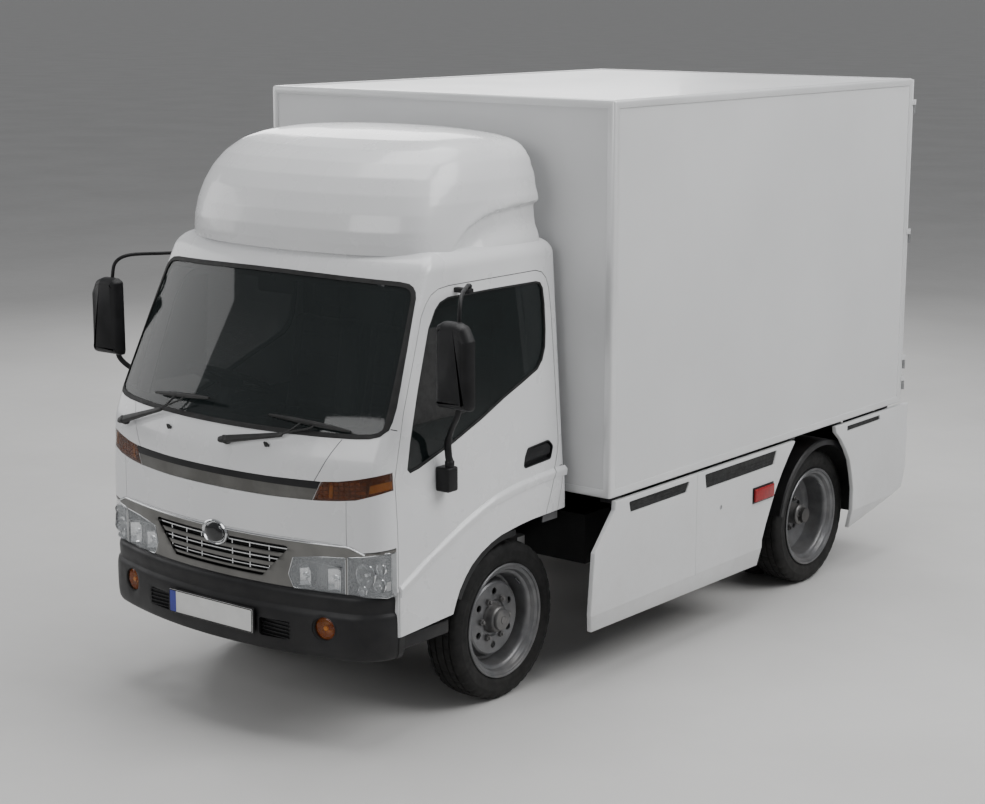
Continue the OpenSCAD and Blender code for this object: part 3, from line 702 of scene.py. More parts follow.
LAMP2 = [(684, 690), (870, 690), (870, 884), (800, 874), (745, 862), (684, 856)]
GRILLE = [(-415, 874), (-268, 726), (268, 726), (415, 874)]


def mir(pts):
    return [(-x, z) for x, z in pts][::-1]


def seam_yz(path, half, side=1):
    """thin groove along a path on the cab's side"""
    l = []
    r = []
    P = [np.array(p, float) for p in path]
    for i in range(len(P)):
        t = (P[min(i + 1, len(P) - 1)] - P[max(i - 1, 0)])
        t /= np.linalg.norm(t)
        n = np.array([-t[1], t[0]]) * half
        l.append(tuple(P[i] + n)); r.append(tuple(P[i] - n))
    return l + r[::-1]


# shallow groove cutters are made from the layer just outside a 4 mm inset
def groove(o, prisms, depth=4.0):
    lim = master(depth, 380, 2200, 22.0, name="lim")
    lim2 = master(2.2, 380, 2200, 22.0, name="lim2")
    fill = []
    for i, c in enumerate(prisms):
        cut(c, lim, keep=True)
        if i not in (0, 2, 3, 4, 5, 7, 8, 9):
            cut(o, c)
            continue
        # the listed grooves get a black rubber fill 2.2 mm under the skin: painted shade in the groove
        q = obj_from("fill", [], [])
        q.data = c.data.copy()
        cut(q, lim2, "INTERSECT", keep=True)
        fill.append(q)
        cut(o, c)
    drop(lim, lim2)
    return join(fill, "panel_seams_painted_shade")


cab = skin(0.0, 24.0, "cab_skin")
cut(cab, prism_yz(LOWER, -1000, 1000))
for s in (1, -1):
    cut(cab, prism_yz(DOOR, s * 560, s * 1000))
cut(cab, prism_xz(inset_poly(WS, 2.0), -1500, -300))
cut(cab, prism_xz(STRIP, -1500, -800))
cut(cab, prism_xz(AMBER, -1500, -812.0))
cut(cab, prism_xz(mir(AMBER), -1500, -812.0))
cut(cab, prism_xz(GARN, -1500, -812.0))
# engine tunnel side: the skin's floor edge is left open, and the floor is a piece of its own
g = []
for s in (1, -1):
    g.append(prism_xz([(s * x, z) for x, z in seam_yz([(632, 1352), (600, 1296), (561, 1220), (534, 1172)], 1.8)], -1500, -800))
    g.append(prism_xz([(s * x, z) for x, z in seam_yz([(679, 1100), (679, 980), (680, 905)], 1.5)], -1500, -820))
    g.append(prism_yz(seam_yz([(349, 1040), (420, 1042)], 2.0), s * 600, s * 1000))
    g.append(prism_yz(seam_yz([(372, 1040), (352, 960), (318, 842)], 1.5), s * 600, s * 1000))
    g.append(prism_yz(seam_yz([(-806, 1402), (-765, 1390)], 2.0), s * 600, s * 1000))
g.append(prism_xz(seam_yz([(-600, 912), (0, 912), (600, 912)], 1.4), -1500, -800))
seams = groove(cab, g)
skin_normals(cab)
fin(cab, "cab", "cab_white", ["cab_shell"], shaded=False, name="cab_panels")
# black fill in the grooves: painted shade
fin(seams, "cab", "rubber", angle=40)

# ---------------------------------------------------------------- doors
lay = skin(0.4, 34.0, "door_skin")
for s, side in ((1, "left"), (-1, "right")):
    body = "door_l" if s > 0 else "door_r"
    d = obj_from("door", [], [])
    d.data = lay.data.copy()
    lim = prism_yz(inset_poly(DOOR, 3.6), s * 500, s * 1000)
    cut(d, lim, "INTERSECT")
    cut(d, prism_yz([(-1300, 380), (-1300, 505), (-806, 505), (-448, 522)] + LOWER[5:], s * 500, s * 1000))
    cut(d, prism_yz(WIN, s * 500, s * 1000))
    # handle bowl
    hb = rounded_poly([(79, 1074), (284, 1086), (300, 1142), (268, 1172), (118, 1160), (96, 1126)], 16, 4)
    hc = prism_yz(hb, s * 815, s * 1000)
    cut(d, hc)
    skin_normals(d)
    fin(d, body, "cab_white", ["door_" + side], shaded=False, name="door_panel_" + side)
    # bowl behind the handle, and the grip
    bowl = prism_yz(inset_poly(hb, -3), s * 815, s * 838)
    cut(bowl, prism_yz(inset_poly(hb, 2.5), s * 817.5, s * 900))
    fin(bowl, body, "black_plastic", name="handle_bowl_" + side)
    hg = prism_yz(rounded_poly([(92, 1100), (282, 1108), (290, 1140), (264, 1162), (122, 1154), (100, 1128)], 12, 3), s * 823, s * 833.5)
    bevel(hg, 3, 2)
    fin(hg, "handle_l" if s > 0 else "handle_r", "black_plastic", ["door_handle_" + side], name="door_grip_" + side)
    # inner trim
    tr = prism_yz([(-770, 560), (-770, 1170), (-690, 1178), (-400, 1250), (-40, 1380), (230, 1480), (318, 1560), (322, 1100), (262, 960), (200, 850), (-30, 838), (-200, 800), (-340, 735), (-430, 620), (-460, 545)], s * 790, s * 806)
    lim = master(36.0, 380, 2200, 22.0, name="lim")
    cut(tr, lim, "INTERSECT")
    bevel(tr, 4, 2)
    fin(tr, body, "dash_plastic", name="door_trim_" + side)
    arm = box(s * 745, s * 792, -420, 60, 1150, 1190, 14, 3)
    fin(arm, body, "dash_plastic", name="arm_rest_" + side)
    # window seal around the opening
    ring = obj_from("ring", [], [])
    ring.data = lay.data.copy()
    cut(ring, prism_yz(inset_poly(WIN, 0.2), s * 500, s * 1000), "INTERSECT")
    cut(ring, prism_yz(inset_poly(WIN, 9.0), s * 500, s * 1000))
    lim = master(2.6, 380, 2200, 22.0, name="lim")
    cut(ring, lim, "INTERSECT")
    fin(ring, body, "rubber", name="window_seal_" + side, angle=40)
drop(lay)
# black rubber seal set 2.6 mm under the skin in the gap round each door: a real seal, set shallow so that it also
# paints the gap's shade
sl = skin(2.6, 9.0, "door_gap")
for s, side in ((1, "left"), (-1, "right")):
    d = obj_from("gap", [], [])
    d.data = sl.data.copy()
    cut(d, prism_yz(inset_poly(DOOR, 0.3), s * 500, s * 1000), "INTERSECT")
    cut(d, prism_yz(inset_poly(DOOR, 3.3), s * 400, s * 1100))
    cut(d, prism_yz([(-1300, 380), (-1300, 505), (-806, 505), (-448, 522)] + LOWER[5:], s * 400, s * 1100))
    fin(d, "cab", "rubber", angle=40, name="door_gap_seal_painted_shade_" + side)
drop(sl)


# the ledge that rises over the wheel: a crisp band along the crease
def ledge(s):
    v, f = [], []
    ys = list(np.arange(-856, 389, 12.0)) + [389.0]
    for y in ys:
        zc = float(np.interp(y, CY, CZ))
        sl_ = (float(np.interp(y + 6, CY, CZ)) - float(np.interp(y - 6, CY, CZ))) / 12.0
        xs = 847.0 if y >= -817 else 752.0 + math.sqrt(95.0 ** 2 - (y + 817) ** 2)
        a = 0.3 + 0.7 * float(smooth(-860, -790, y))
        k = math.sqrt(1 + sl_ * sl_)
        for dx, dz in ((-3.0, 12.0), (0.6, 11.0), (3.0, 9.0), (11.0 * a, 1.0), (13.5 * a, -2.5), (14.0 * a, -7.0), (12.0 * a, -18.0), (9.3 * a + 0.4, -32.0), (2.0, -34.0)):
            z = zc + dz * k
            v.append((s * (xs - (w_of(950.0) - w_of(z)) + dx), y, z))
    m = 9
    for i in range(len(ys) - 1):
        for k in range(m):
            f.append((i * m + k, i * m + (k + 1) % m, (i + 1) * m + (k + 1) % m, (i + 1) * m + k))
    f += [tuple(range(m)), tuple(range((len(ys) - 1) * m, len(ys) * m))[::-1]]
    o = obj_from("ledge", v, f)
    fix_normals(o)
    return o


for s, side in ((1, "left"), (-1, "right")):
    a = ledge(s)
    b_ = obj_from("ledge_b", [], [])
    b_.data = a.data.copy()
    cut(a, prism_yz(inset_poly(DOOR, 7.0), s * 500, s * 1000), "INTERSECT")
    cut(b_, prism_yz(DOOR, s * 500, s * 1000))
    cut(b_, prism_yz([(-1400, 400), (0, 400), (0, 1300), (-1400, 1300)], s * 500, s * 1000))
    fin(a, "door_l" if s > 0 else "door_r", "cab_white", angle=34, name="door_ledge_" + side)
    fin(b_, "cab", "cab_white", angle=34, name="cab_ledge_" + side)
gl = skin(10.0, 14.0, "glass")
for s, side in ((1, "left"), (-1, "right")):
    q = obj_from("g", [], [])
    q.data = gl.data.copy()
    cut(q, prism_yz(inset_poly(WIN, -2.0), s * 500, s * 1000), "INTERSECT")
    fin(q, "glass_l" if s > 0 else "glass_r", "glass", ["door_glass_" + side], name="side_glass_" + side, angle=40)
drop(gl)

# ---------------------------------------------------------------- windscreen
lay = skin(3.0, 8.0, "screen")
cut(lay, prism_xz(inset_poly(WS, 16.0), -1500, -300), "INTERSECT")
fin(lay, "cab", "wind_glass", ["windscreen"], name="windscreen_glass", angle=50)
lay = skin(-2.0, 14.0, "seal")
cut(lay, prism_xz(inset_poly(WS, 0.4), -1500, -300), "INTERSECT")
cut(lay, prism_xz(inset_poly(WS, 19.0), -1500, -300))
bevel(lay, 2.0, 2, 50)
fin(lay, "cab", "rubber", name="windscreen_seal", angle=40)
lay = skin(8.5, 9.2, "frit")
cut(lay, prism_xz(inset_poly(WS, 12.0), -1500, -300), "INTERSECT")
fr_in = inset_poly(WS, 46.0)
cut(lay, prism_xz(fr_in, -1500, -300))
fin(lay, "cab", "rubber", name="windscreen_border", angle=40)

# ---------------------------------------------------------------- lamps, strip and grille surround
lay = skin(3.0, 26.0, "strip")
st = obj_from("strip", [], [])
st.data = lay.data.copy()
cut(st, prism_xz(inset_poly(STRIP, 1.5), -1500, -800), "INTERSECT")
lip = [(-556, 1167), (556, 1167), (546, 1134), (-546, 1134)]
fin(st, "cab", "black_plastic", name="front_strip", angle=40)
top = skin(-1.5, 6.0, "strip_lip")
cut(top, prism_xz([(-561, 1168.5), (561, 1168.5), (548, 1140), (-548, 1140)], -1500, -800), "INTERSECT")
fin(top, "cab", "black_plastic", name="front_strip_lip", angle=40)
low = skin(2.0, 5.0, "strip_low")
cut(low, prism_xz([(-546, 1139), (546, 1139), (521, 1085), (-521, 1085)], -1500, -800), "INTERSECT")
fin(low, "cab", "strip_grey", name="front_strip_lower", angle=40)
lens = skin(0.6, 4.0, "lens")
back = skin(15.0, 26.0, "lampback")
for s, side in ((1, "left"), (-1, "right")):
    P = AMBER if s > 0 else mir(AMBER)
    q = obj_from("a", [], [])
    q.data = lens.data.copy()
    cut(q, prism_xz(inset_poly(P, 1.6), -1500, -813.5), "INTERSECT")
    fin(q, "cab", "amber_lens", ["corner_lamps"] if s > 0 else (), name="corner_lens_" + side, angle=40)
    q = obj_from("b", [], [])
    q.data = back.data.copy()
    cut(q, prism_xz(inset_poly(P, 1.6), -1500, -813.5), "INTERSECT")
    fin(q, "cab", "amber_bowl", name="corner_bowl_" + side, angle=40)
    P = LAMP if s > 0 else mir(LAMP)
    P2 = LAMP2 if s > 0 else mir(LAMP2)
    for nm, pp in (("main", P), ("side", P2)):
        q = obj_from("h", [], [])
        q.data = lens.data.copy()
        cut(q, prism_xz(rounded_poly(pp, [18, 18, 12, 4, 6, 6, 8][:len(pp)] if nm == "main" else 6, 4), -1500, -813.5), "INTERSECT")
        fin(q, "cab", "lamp_clear", ["headlamps"] if (nm == "main" and s > 0) else (), name="headlamp_lens_%s_%s" % (nm, side), angle=40)
drop(lens, back, lay)


def front_y(x, z, o=0.0):
    """y of the cab's front skin at (x, z)"""
    hit = bvh0.ray_cast(Vector(T((x, -1600, z))), Vector((0, 1, 0)))
    return hit[0].y * 1000 - OY + o if hit[0] else None


def side_x(y, z, o=0.0):
    hit = bvh0.ray_cast(Vector(T((1400, y, z))), Vector((-1, 0, 0)))
    return hit[0].x * 1000 - o


# ---------------------------------------------------------------- grille surround
gs = skin(0.5, 20.0, "surround")
cut(gs, prism_xz(inset_poly(GARN, 1.2), -1500, -813.5), "INTERSECT")
for P in (LAMP, mir(LAMP)):
    cut(gs, prism_xz(rounded_poly(inset_poly(P, -2.0), [18, 18, 12, 4, 6, 6, 8], 4), -1500, -700))
for P in (LAMP2, mir(LAMP2)):
    cut(gs, prism_xz(inset_poly(P, -2.0), -1500, -700))
cut(gs, prism_xz(rounded_poly(GRILLE, 14, 4), -1500, -700))
bevel(gs, 2.2, 2, 50)
fin(gs, "cab", "garnish", ["front_trim"], name="grille_surround", angle=40)
path = [(x, front_y(x, 900 if abs(x) < 700 else 900 - (abs(x) - 700) * 0.35, -1.0), (902 if abs(x) < 690 else 902 - (abs(x) - 690) * 0.42)) for x in range(-760, 761, 20)]
fin(tube(path, 5.0, 10, "grille_bead"), "cab", "chrome", angle=50)
for P in (LAMP, LAMP2):
    pp = rounded_poly(inset_poly([(min(x, 842), z) for x, z in P], -1.0), 8, 3)
    path = [(x, (front_y(x, z) or -850) + 1.0, z) for x, z in pp]
    t = tube(path, 2.2, 6, "lamp_edge", closed=True)
    fin(both(t, "lamp_edge_main" if P is LAMP else "lamp_edge_side"), "cab", "chrome", angle=60)
# grille: dark backing, thick bars, fine bars and uprights
bk = skin(40.0, 50.0, "backing")
cut(bk, prism_xz(inset_poly(GRILLE, -30), -1500, -700), "INTERSECT")
fin(bk, "cab", "rubber", name="grille_backing")


def bar(z0, z1, d0, d1, name, mat, clip=GRILLE, b=1.2):
    q = skin(d0, d1, name, z0=600)
    xs = [np.interp(z0, [726, 874], [268, 415]) + 6, np.interp(z1, [726, 874], [268, 415]) + 6]
    cut(q, prism_xz([(-xs[0], z0), (xs[0], z0), (xs[1], z1), (-xs[1], z1)], -1500, -700), "INTERSECT")
    if b:
        bevel(q, b, 2, 50)
    return fin(q, "cab", mat, name=name, angle=40)


bar(819, 839, 5, 22, "grille_bar_1", "garnish")
bar(772, 791, 5, 22, "grille_bar_2", "garnish")
bar(736, 748, 5, 22, "grille_bar_3", "garnish")
bar(855, 860, 9, 20, "grille_line_1", "chrome", b=0)
bar(803, 808, 9, 20, "grille_line_2", "chrome", b=0)
bar(758, 762, 9, 20, "grille_line_3", "chrome", b=0)
ups = []
for x in (-300, -195, -95, 95, 195, 300):
    zt, zb = 862, max(736, 726 + (abs(x) - 262) * 1.0)
    ups.append(box(x - 3, x + 3, front_y(x, 800) + 8, front_y(x, 800) + 20, zb, zt, 0.8, 1))
fin(join(ups, "grille_uprights"), "cab", "chrome")
fl = []
for k in range(9):
    z = 735 + k * 15.5
    hw = np.interp(z, [726, 874], [268, 415])
    fl.append(box(-hw, hw, -990, -986, z, z + 4, 0.5, 1))
fin(join(fl, "radiator_fins"), "cab", "rubber")
# plain badge disc
M["badge_dark"] = simple("badge_dark", (0.02, 0.021, 0.022), (0.035, 0.036, 0.038), (0.05, 0.1), metal=0.6, scale=9, bumps=((60, 0.03, 0.0006),), coat=0.6)
bd = revolve([(-19, 0), (-19, 44), (-17, 50), (-11, 54), (-11, 62), (-14, 66), (-16, 70), (-13, 76), (-6, 79), (14, 78)], (0, -1034, 876), "y", 72, "badge_disc")
co = bd.data.vertices
for v in co:
    v.co.z = 0.876 + (v.co.z - 0.876) * 0.74
fin(bd, "cab", "chrome", angle=35)
bd = revolve([(-24.5, 0), (-24, 26), (-22, 46), (-17, 56), (-15, 56)], (0, -1034, 876), "y", 64, "badge_centre")
for v in bd.data.vertices:
    v.co.z = 0.876 + (v.co.z - 0.876) * 0.74
fin(bd, "cab", "badge_dark", angle=35)
# headlamp bowls
for s, side in ((1, "left"), (-1, "right")):
    parts = []
    for P, dep in ((LAMP, 62), (LAMP2, 60)):
        Q = P if s > 0 else mir(P)
        wall = skin(4.5, dep, "bowl", z0=600)
        cut(wall, prism_xz(inset_poly(Q, 1.0), -1500, -815), "INTERSECT")
        cut(wall, prism_xz(inset_poly(Q, 4.0), -1500, -700))
        parts.append(wall)
    fin(join(parts, "lamp_walls_" + side), "cab", "lamp_grey")
    back = skin(52.0, 58.0, "bowl", z0=600)
    A = prism_xz(LAMP if s > 0 else mir(LAMP), -1500, -815)
    B = prism_xz(LAMP2 if s > 0 else mir(LAMP2), -1500, -815)
    b2 = obj_from("b2", [], []); b2.data = back.data.copy()
    cut(back, A, "INTERSECT"); cut(b2, B, "INTERSECT")
    fin(join([back, b2], "lamp_backs_" + side), "cab", "lamp_grey")
    dish, dim = [], []
    for x0, x1, z0, z1 in ((446, 506, 704, 786), (580, 650, 700, 800)):
        yb_ = min(front_y(x0, 750), front_y(x1, 750)) + 16
        v, f = [], []
        for i in range(13):
            t = i / 12.0
            x = x0 + (x1 - x0) * t
            flu = 1.6 * math.cos(t * math.pi * 10)
            y = yb_ + 26 * math.sin(math.pi * t) + flu * 0.6
            for z, dy in ((z0, 0), (z0 + 6, 3), ((z0 + z1) / 2, 5), (z1 - 8, 3), (z1, -4)):
                v.append((x, y + dy, z))
        for i in range(12):
            for k in range(4):
                f.append((i * 5 + k, i * 5 + k + 1, (i + 1) * 5 + k + 1, (i + 1) * 5 + k))
        q = obj_from("block", v, f)
        m = q.modifiers.new("so", "SOLIDIFY"); m.thickness = 0.002; m.offset = 0
        dish.append(applied(q))
        xm = (x0 + x1) / 2
        dish.append(revolve([(0, 0), (0, 7), (5, 9), (22, 9), (30, 8)], (xm, yb_ + 2, (z0 + z1) / 2), "y", 20, "bulb"))
    # dark shelf over the blocks and a fluted middle
    dim.append(box(440, 655, front_y(550, 770) + 22, front_y(550, 770) + 46, 804, 812, 3, 2))
    for k in range(6):
        dim.append(box(516 + k * 10, 521 + k * 10, front_y(545, 750) + 30, front_y(545, 750) + 40, 704, 798, 1.5, 1))
    for (cx_, cz_, rr, nf) in ((752, 782, 50, 16), (806, 742, 30, 12), (742, 716, 20, 10), (812, 812, 22, 10)):
        y0 = front_y(min(cx_ + rr * 0.5, 836), cz_) + 6
        prof = [(34 * (1 - (k / 10.0) ** 2) * rr / 60.0, rr * k / 10.0) for k in range(0, 11)]
        d = revolve([(a, max(b, 0.0)) for a, b in prof], (cx_, y0, cz_), "y", nf * 4, "dish")
        for v in d.data.vertices:
            dx, dz = v.co.x - cx_ / 1000, v.co.z - cz_ / 1000
            k = 1.0 + 0.07 * math.cos(math.atan2(dz, dx) * nf)
            v.co.x = cx_ / 1000 + dx * k
            v.co.z = cz_ / 1000 + dz * k
        dish += [revolve([(0, 0), (0, rr * 0.16), (6, rr * 0.18), (24, rr * 0.15)], (cx_, y0 + 2, cz_), "y", 20, "bulb")]
        dish += [revolve([(-1, rr + 1), (-3, rr + 2.5), (0, rr + 4), (6, rr + 4)], (cx_, y0, cz_), "y", 48, "rim")]
        dim.append(d)
    dm_ = join(dim, "lamp_shelves_" + side)
    if s < 0:
        for v in dm_.data.vertices:
            v.co.x *= -1
        dm_.data.flip_normals()
    fin(dm_, "cab", "chrome_dark", angle=20)
    dd = join(dish, "lamp_dishes_" + side)
    if s < 0:
        for v in dd.data.vertices:
            v.co.x *= -1
        dd.data.flip_normals()
    fin(dd, "cab", "reflector", angle=20)
    # facets in the corner lamp
    fc, fd = [], []
    cells = []
    for i in range(9):
        for j in range(4):
            x = 556 + i * 24
            z = 1104 + j * 19 + (x - 556) * 0.07
            if x < 752 and z < 1158 + (x - 556) * 0.16 and (x > 575 or z < 1150):
                cells.append((x, z, 9.5, 7.5, 0))
    for x, z, w, h, big in cells:
        yy = front_y(x, z)
        r = box(x - w, x + w, yy + 8, yy + 13, z - h, z + h, 3, 2)
        for v in r.data.vertices:
            v.co.y += (v.co.x * 1000 - x) * 0.001 * (x / 2300.0 * 1.1 + max(0, x - 740) * 0.004)
        (fc if big else fd).append(r)
    f3 = join(fd, "corner_cells_" + side)
    # two bright amber patches behind the corner lens: painted glow
    gq = skin(7.0, 12.0, "glow", z0=1000)
    gp = [(772, 1136), (836, 1154), (836, 1188), (776, 1172)]
    g2 = [(596, 1106), (612, 1107), (614, 1160), (600, 1157)]
    gc = obj_from("gc", [], [])
    gc.data = gq.data.copy()
    cut(gq, prism_xz(gp if s > 0 else mir(gp), -1500, -780), "INTERSECT")
    cut(gc, prism_xz(g2 if s > 0 else mir(g2), -1500, -780), "INTERSECT")
    f2 = join([gq, gc], "corner_glow_" + side)
    # f2 carries the painted glow, f3 the darker painted shade of the same amber
    for q, mt in ((f2, "amber_glow"), (f3, "amber_dim")):
        if s < 0 and q is not f2:
            for v in q.data.vertices:
                v.co.x *= -1
            q.data.flip_normals()
        fin(q, "cab", mt, angle=30)

# ---------------------------------------------------------------- front bumper
def bumper_outline(o):
    R = 2300.0 - o
    yf = -1075.0 + o
    rc = 210.0 - o
    w = 848.0 - o
    yc = yf + R
    cx_ = w - rc
    cy_ = yc - math.sqrt((R - rc) ** 2 - cx_ * cx_)
    a1 = math.atan2(cx_, yc - cy_)
    pts = [(R * math.sin(a1 * k / 20), yc - R * math.cos(a1 * k / 20)) for k in range(21)]
    pts += [(cx_ + rc * math.sin(a), cy_ - rc * math.cos(a)) for a in (a1 + (math.pi / 2 - a1) * k / 16 for k in range(1, 17))]
    return pts


def bumper_ring(levels, o_in, name):
    """open channel swept round the front: levels = (z, inset) from bottom to top"""
    v, f = [], []
    prof = [(z, o) for z, o in levels] + [(z, o + o_in) for z, o in levels[::-1]]
    lines = []
    for z, o in prof:
        half = bumper_outline(o)
        ye = -800.0
        half = half + [(half[-1][0], half[-1][1] + (ye - half[-1][1]) * k / 4) for k in range(1, 5)]
        full = [(-x, y) for x, y in half[1:]][::-1] + half
        lines.append([(x, y, z) for x, y in full])
    n = len(lines[0])
    for L in lines:
        v += L
    m = len(lines)
    for i in range(m):
        j = (i + 1) % m
        for k in range(n - 1):
            f.append((i * n + k, i * n + k + 1, j * n + k + 1, j * n + k))
    f.append(tuple(i * n for i in range(m)))
    f.append(tuple(i * n + n - 1 for i in range(m))[::-1])
    o = obj_from(name, v, f)
    fix_normals(o)
    return o


bp = bumper_ring([(402, 34), (404, 22), (412, 12), (426, 5), (450, 1.5), (500, 0), (560, 0), (586, 1), (604, 5), (612, 12), (618, 13.5), (640, 12), (664, 11), (678, 13), (688, 19), (694, 30), (696, 46)], 14.0, "front_bumper_cover")
for s in (-1, 1):
    cut(bp, prism_xz(rounded_poly([(s * 350 - 78, 468), (s * 350 + 78, 468), (s * 350 + 78, 548), (s * 350 - 78, 548)], 14, 4), -1200, -950))
    cut(bp, revolve([(-1200, 0), (-1200, 56), (-900, 56), (-900, 0)], (s * 595, 0, 540), "y", 48))
bevel(bp, 2.5, 2, 45)
fin(bp, "truck", "black_plastic", ["front_bumper"], angle=35)
parts = []
for s in (-1, 1):
    parts.append(box(min(s * 270, s * 430), max(s * 270, s * 430), -1030, -1020, 460, 556, 3, 2))
    for k in range(5):
        parts.append(box(s * 350 - 80, s * 350 + 80, -1042, -1024, 472 + k * 17, 476 + k * 17, 1, 1))
    parts.append(box(s * 732.5 - 112.5, s * 732.5 + 112.5, -792, -464, 440, 500, 8, 3))
    for k in range(9):
        parts.append(box(s * 732.5 - 100, s * 732.5 + 100, -770 + k * 34, -760 + k * 34, 499, 504, 1.5, 1))
    parts.append(box(s * 360 - 30, s * 360 + 30, -1022, -962, 600, 680, 4, 2))
fin(join(parts, "bumper_inner"), "truck", "black_plastic")
# blank number plate in its holder
pl = prism_xz(rounded_poly([(-264, 470), (264, 470), (264, 588), (-264, 588)], 8, 4), -1082, -1076)
bevel(pl, 1.5, 2, 50)
fin(pl, "truck", "black_plastic", name="plate_holder")
pf = prism_xz(rounded_poly([(-258, 476), (258, 476), (258, 582), (-258, 582)], 7, 4), -1084.6, -1082)
bevel(pf, 0.8, 2, 50)
fin(pf, "truck", "plate_white", ["number_plate"], name="plate_face")
pb = prism_xz(rounded_poly([(-255, 479), (-215, 479), (-215, 579), (-255, 579)], [5, 0, 0, 5], 3), -1085.2, -1084.4)
fin(pb, "truck", "blue_band", name="plate_band")
rim = prism_xz(rounded_poly([(-257, 477), (257, 477), (257, 581), (-257, 581)], 7, 4), -1085.6, -1084.4)
cut(rim, prism_xz(rounded_poly([(-253, 481), (253, 481), (253, 577), (-253, 577)], 5, 4), -1090, -1080))
fin(rim, "truck", "rubber", name="plate_rim")
# fog lamps and their bowls
parts, shells, bez = [], [], []
for s in (-1, 1):
    yb = -1075.0 + 2300.0 - math.sqrt(2300.0 ** 2 - 595.0 ** 2)
    q1 = revolve([(-3, 0), (-2.5, 18), (-1, 34), (1.5, 43), (5, 48), (10, 49), (12, 0)], (0, 0, 0), "y", 56, "fog")
    q2 = revolve([(10, 49), (30, 44), (46, 26), (50, 0)], (0, 0, 0), "y", 48, "fogb")
    q3 = revolve([(6, 0), (6, 10), (16, 12), (44, 10)], (0, 0, 0), "y", 24, "fogc")
    q4 = revolve([(14, 57.5), (-2, 57.5), (-4, 55.5), (-3.5, 52), (0, 49.5), (14, 49.5)], (0, 0, 0), "y", 56, "fogz")
    for q, L in ((q1, parts), (q2, shells), (q3, shells), (q4, bez)):
        for v in q.data.vertices:
            x, y, z = v.co.x * 1000, v.co.y * 1000 - OY, v.co.z * 1000
            v.co = T((x + s * 595, y + yb + 6 + x * s * 0.19, z + 540))
        L.append(q)
fin(join(parts, "fog_lenses"), "truck", "amber_lens", ["signal_lamps"], angle=40)
# the bowls' bright amber is the lamp's colour with painted glow
fin(join(shells, "fog_bowls"), "truck", "amber_glow", angle=40)
fin(join(bez, "fog_bezels"), "truck", "rubber", angle=40)

# ---------------------------------------------------------------- wipers and washer nozzles
def wiper(px, py, pz, phi, body, name, node):
    """arm and blade in the slanted plane of the screen; local x along the blade, y out of the glass, z up the glass"""
    parts = []
    parts.append(revolve([(-40, 0), (-40, 11), (-37, 16), (-26, 19), (-6, 19), (-4, 15), (4, 15)], (0, 0, 0), "y", 32, "boss"))
    a = math.radians(14.0)

    def L(u, d, w=0):
        return (u * math.cos(a) - w * math.sin(a), d, u * math.sin(a) + w * math.cos(a))
    v, f = [], []
    ring = [(-1, -0.6), (-1, 0.6), (-0.45, 0.95), (0.5, 1.0), (0.9, 0.9), (0.9, -0.9), (0.5, -1.0), (-0.45, -0.95)]
    st = ((-34, 9, 6), (-28, 13, 9), (-12, 16, 11), (24, 17, 11), (90, 15, 10), (180, 12.5, 8.5), (262, 11, 7.5), (284, 10, 7), (292, 7, 5))
    for u, hw, hh in st:
        v += [L(u, -27 + hh * p, hw * q) for p, q in ring]
    n = len(ring)
    for i in range(len(st) - 1):
        for k in range(n):
            f.append((i * n + k, i * n + (k + 1) % n, (i + 1) * n + (k + 1) % n, (i + 1) * n + k))
    f += [tuple(range(n))[::-1], tuple(range((len(st) - 1) * n, len(st) * n))]
    o = obj_from("arm", v, f); fix_normals(o)
    bevel(o, 1.4, 2, 35)
    parts.append(o)
    cx_, cz_ = 392.0, 144.0
    for du in (-34, 32):
        pth = catmull([L(280, -27, 0), (320 + du * 0.25, -28, 92), (cx_ + du - 16, -27, cz_ - 22), (cx_ + du, -24, cz_)], 5)
        parts.append(tube(pth, 4.2, 8, "link"))
    n = 24
    us = [-212 + 424.0 * k / n for k in range(n + 1)]
    parts.append(tube([(cx_ + u, -21 + 2 * (u / 212.0) ** 2, cz_) for u in us], [3.4 + 8.0 * math.cos(u / 212.0 * 1.45) ** 0.8 for u in us], 10, "blade"))
    parts.append(tube([(cx_ + u, -13 + 2 * (u / 212.0) ** 2, cz_) for u in us], 2.6, 6, "lip"))
    parts.append(tube([(cx_ + u, -24, cz_) for u in (-46, -44, 44, 46)], [5, 8.5, 8.5, 5], 8, "clip"))
    o = join(parts, name)
    c27, s27 = math.cos(math.radians(-27)), math.sin(math.radians(-27))
    cp, sp = math.cos(math.radians(phi)), math.sin(math.radians(phi))
    for vv in o.data.vertices:
        x, y, z = vv.co.x * 1000, vv.co.y * 1000 - OY, vv.co.z * 1000
        x, y = x * cp - y * sp, x * sp + y * cp
        y, z = y * c27 - z * s27, y * s27 + z * c27
        vv.co = T((x + px, y + py, z + pz))
    fin(o, body, "wiper_black", [node], angle=35)


wiper(85, -1032, 1294, 7.4, "wiper_l", "wiper_blade_left", "wiper_left")
wiper(-635, -959, 1272, -11, "wiper_r", "wiper_blade_right", "wiper_right")
nz = []
for x, z in ((-317, 1300), (285, 1303)):
    y = front_y(x, z)
    q = tube([(x - 14, y - 3, z + 4), (x, y - 8, z), (x + 18, y - 7, z - 7)], [4, 9, 5], 10, "nz")
    nz.append(q)
    nz.append(revolve([(-10, 0), (-10, 7), (2, 9)], (x, y, z - 6), "y", 16, "nz"))
fin(join(nz, "washer_nozzles"), "cab", "rubber", angle=40)

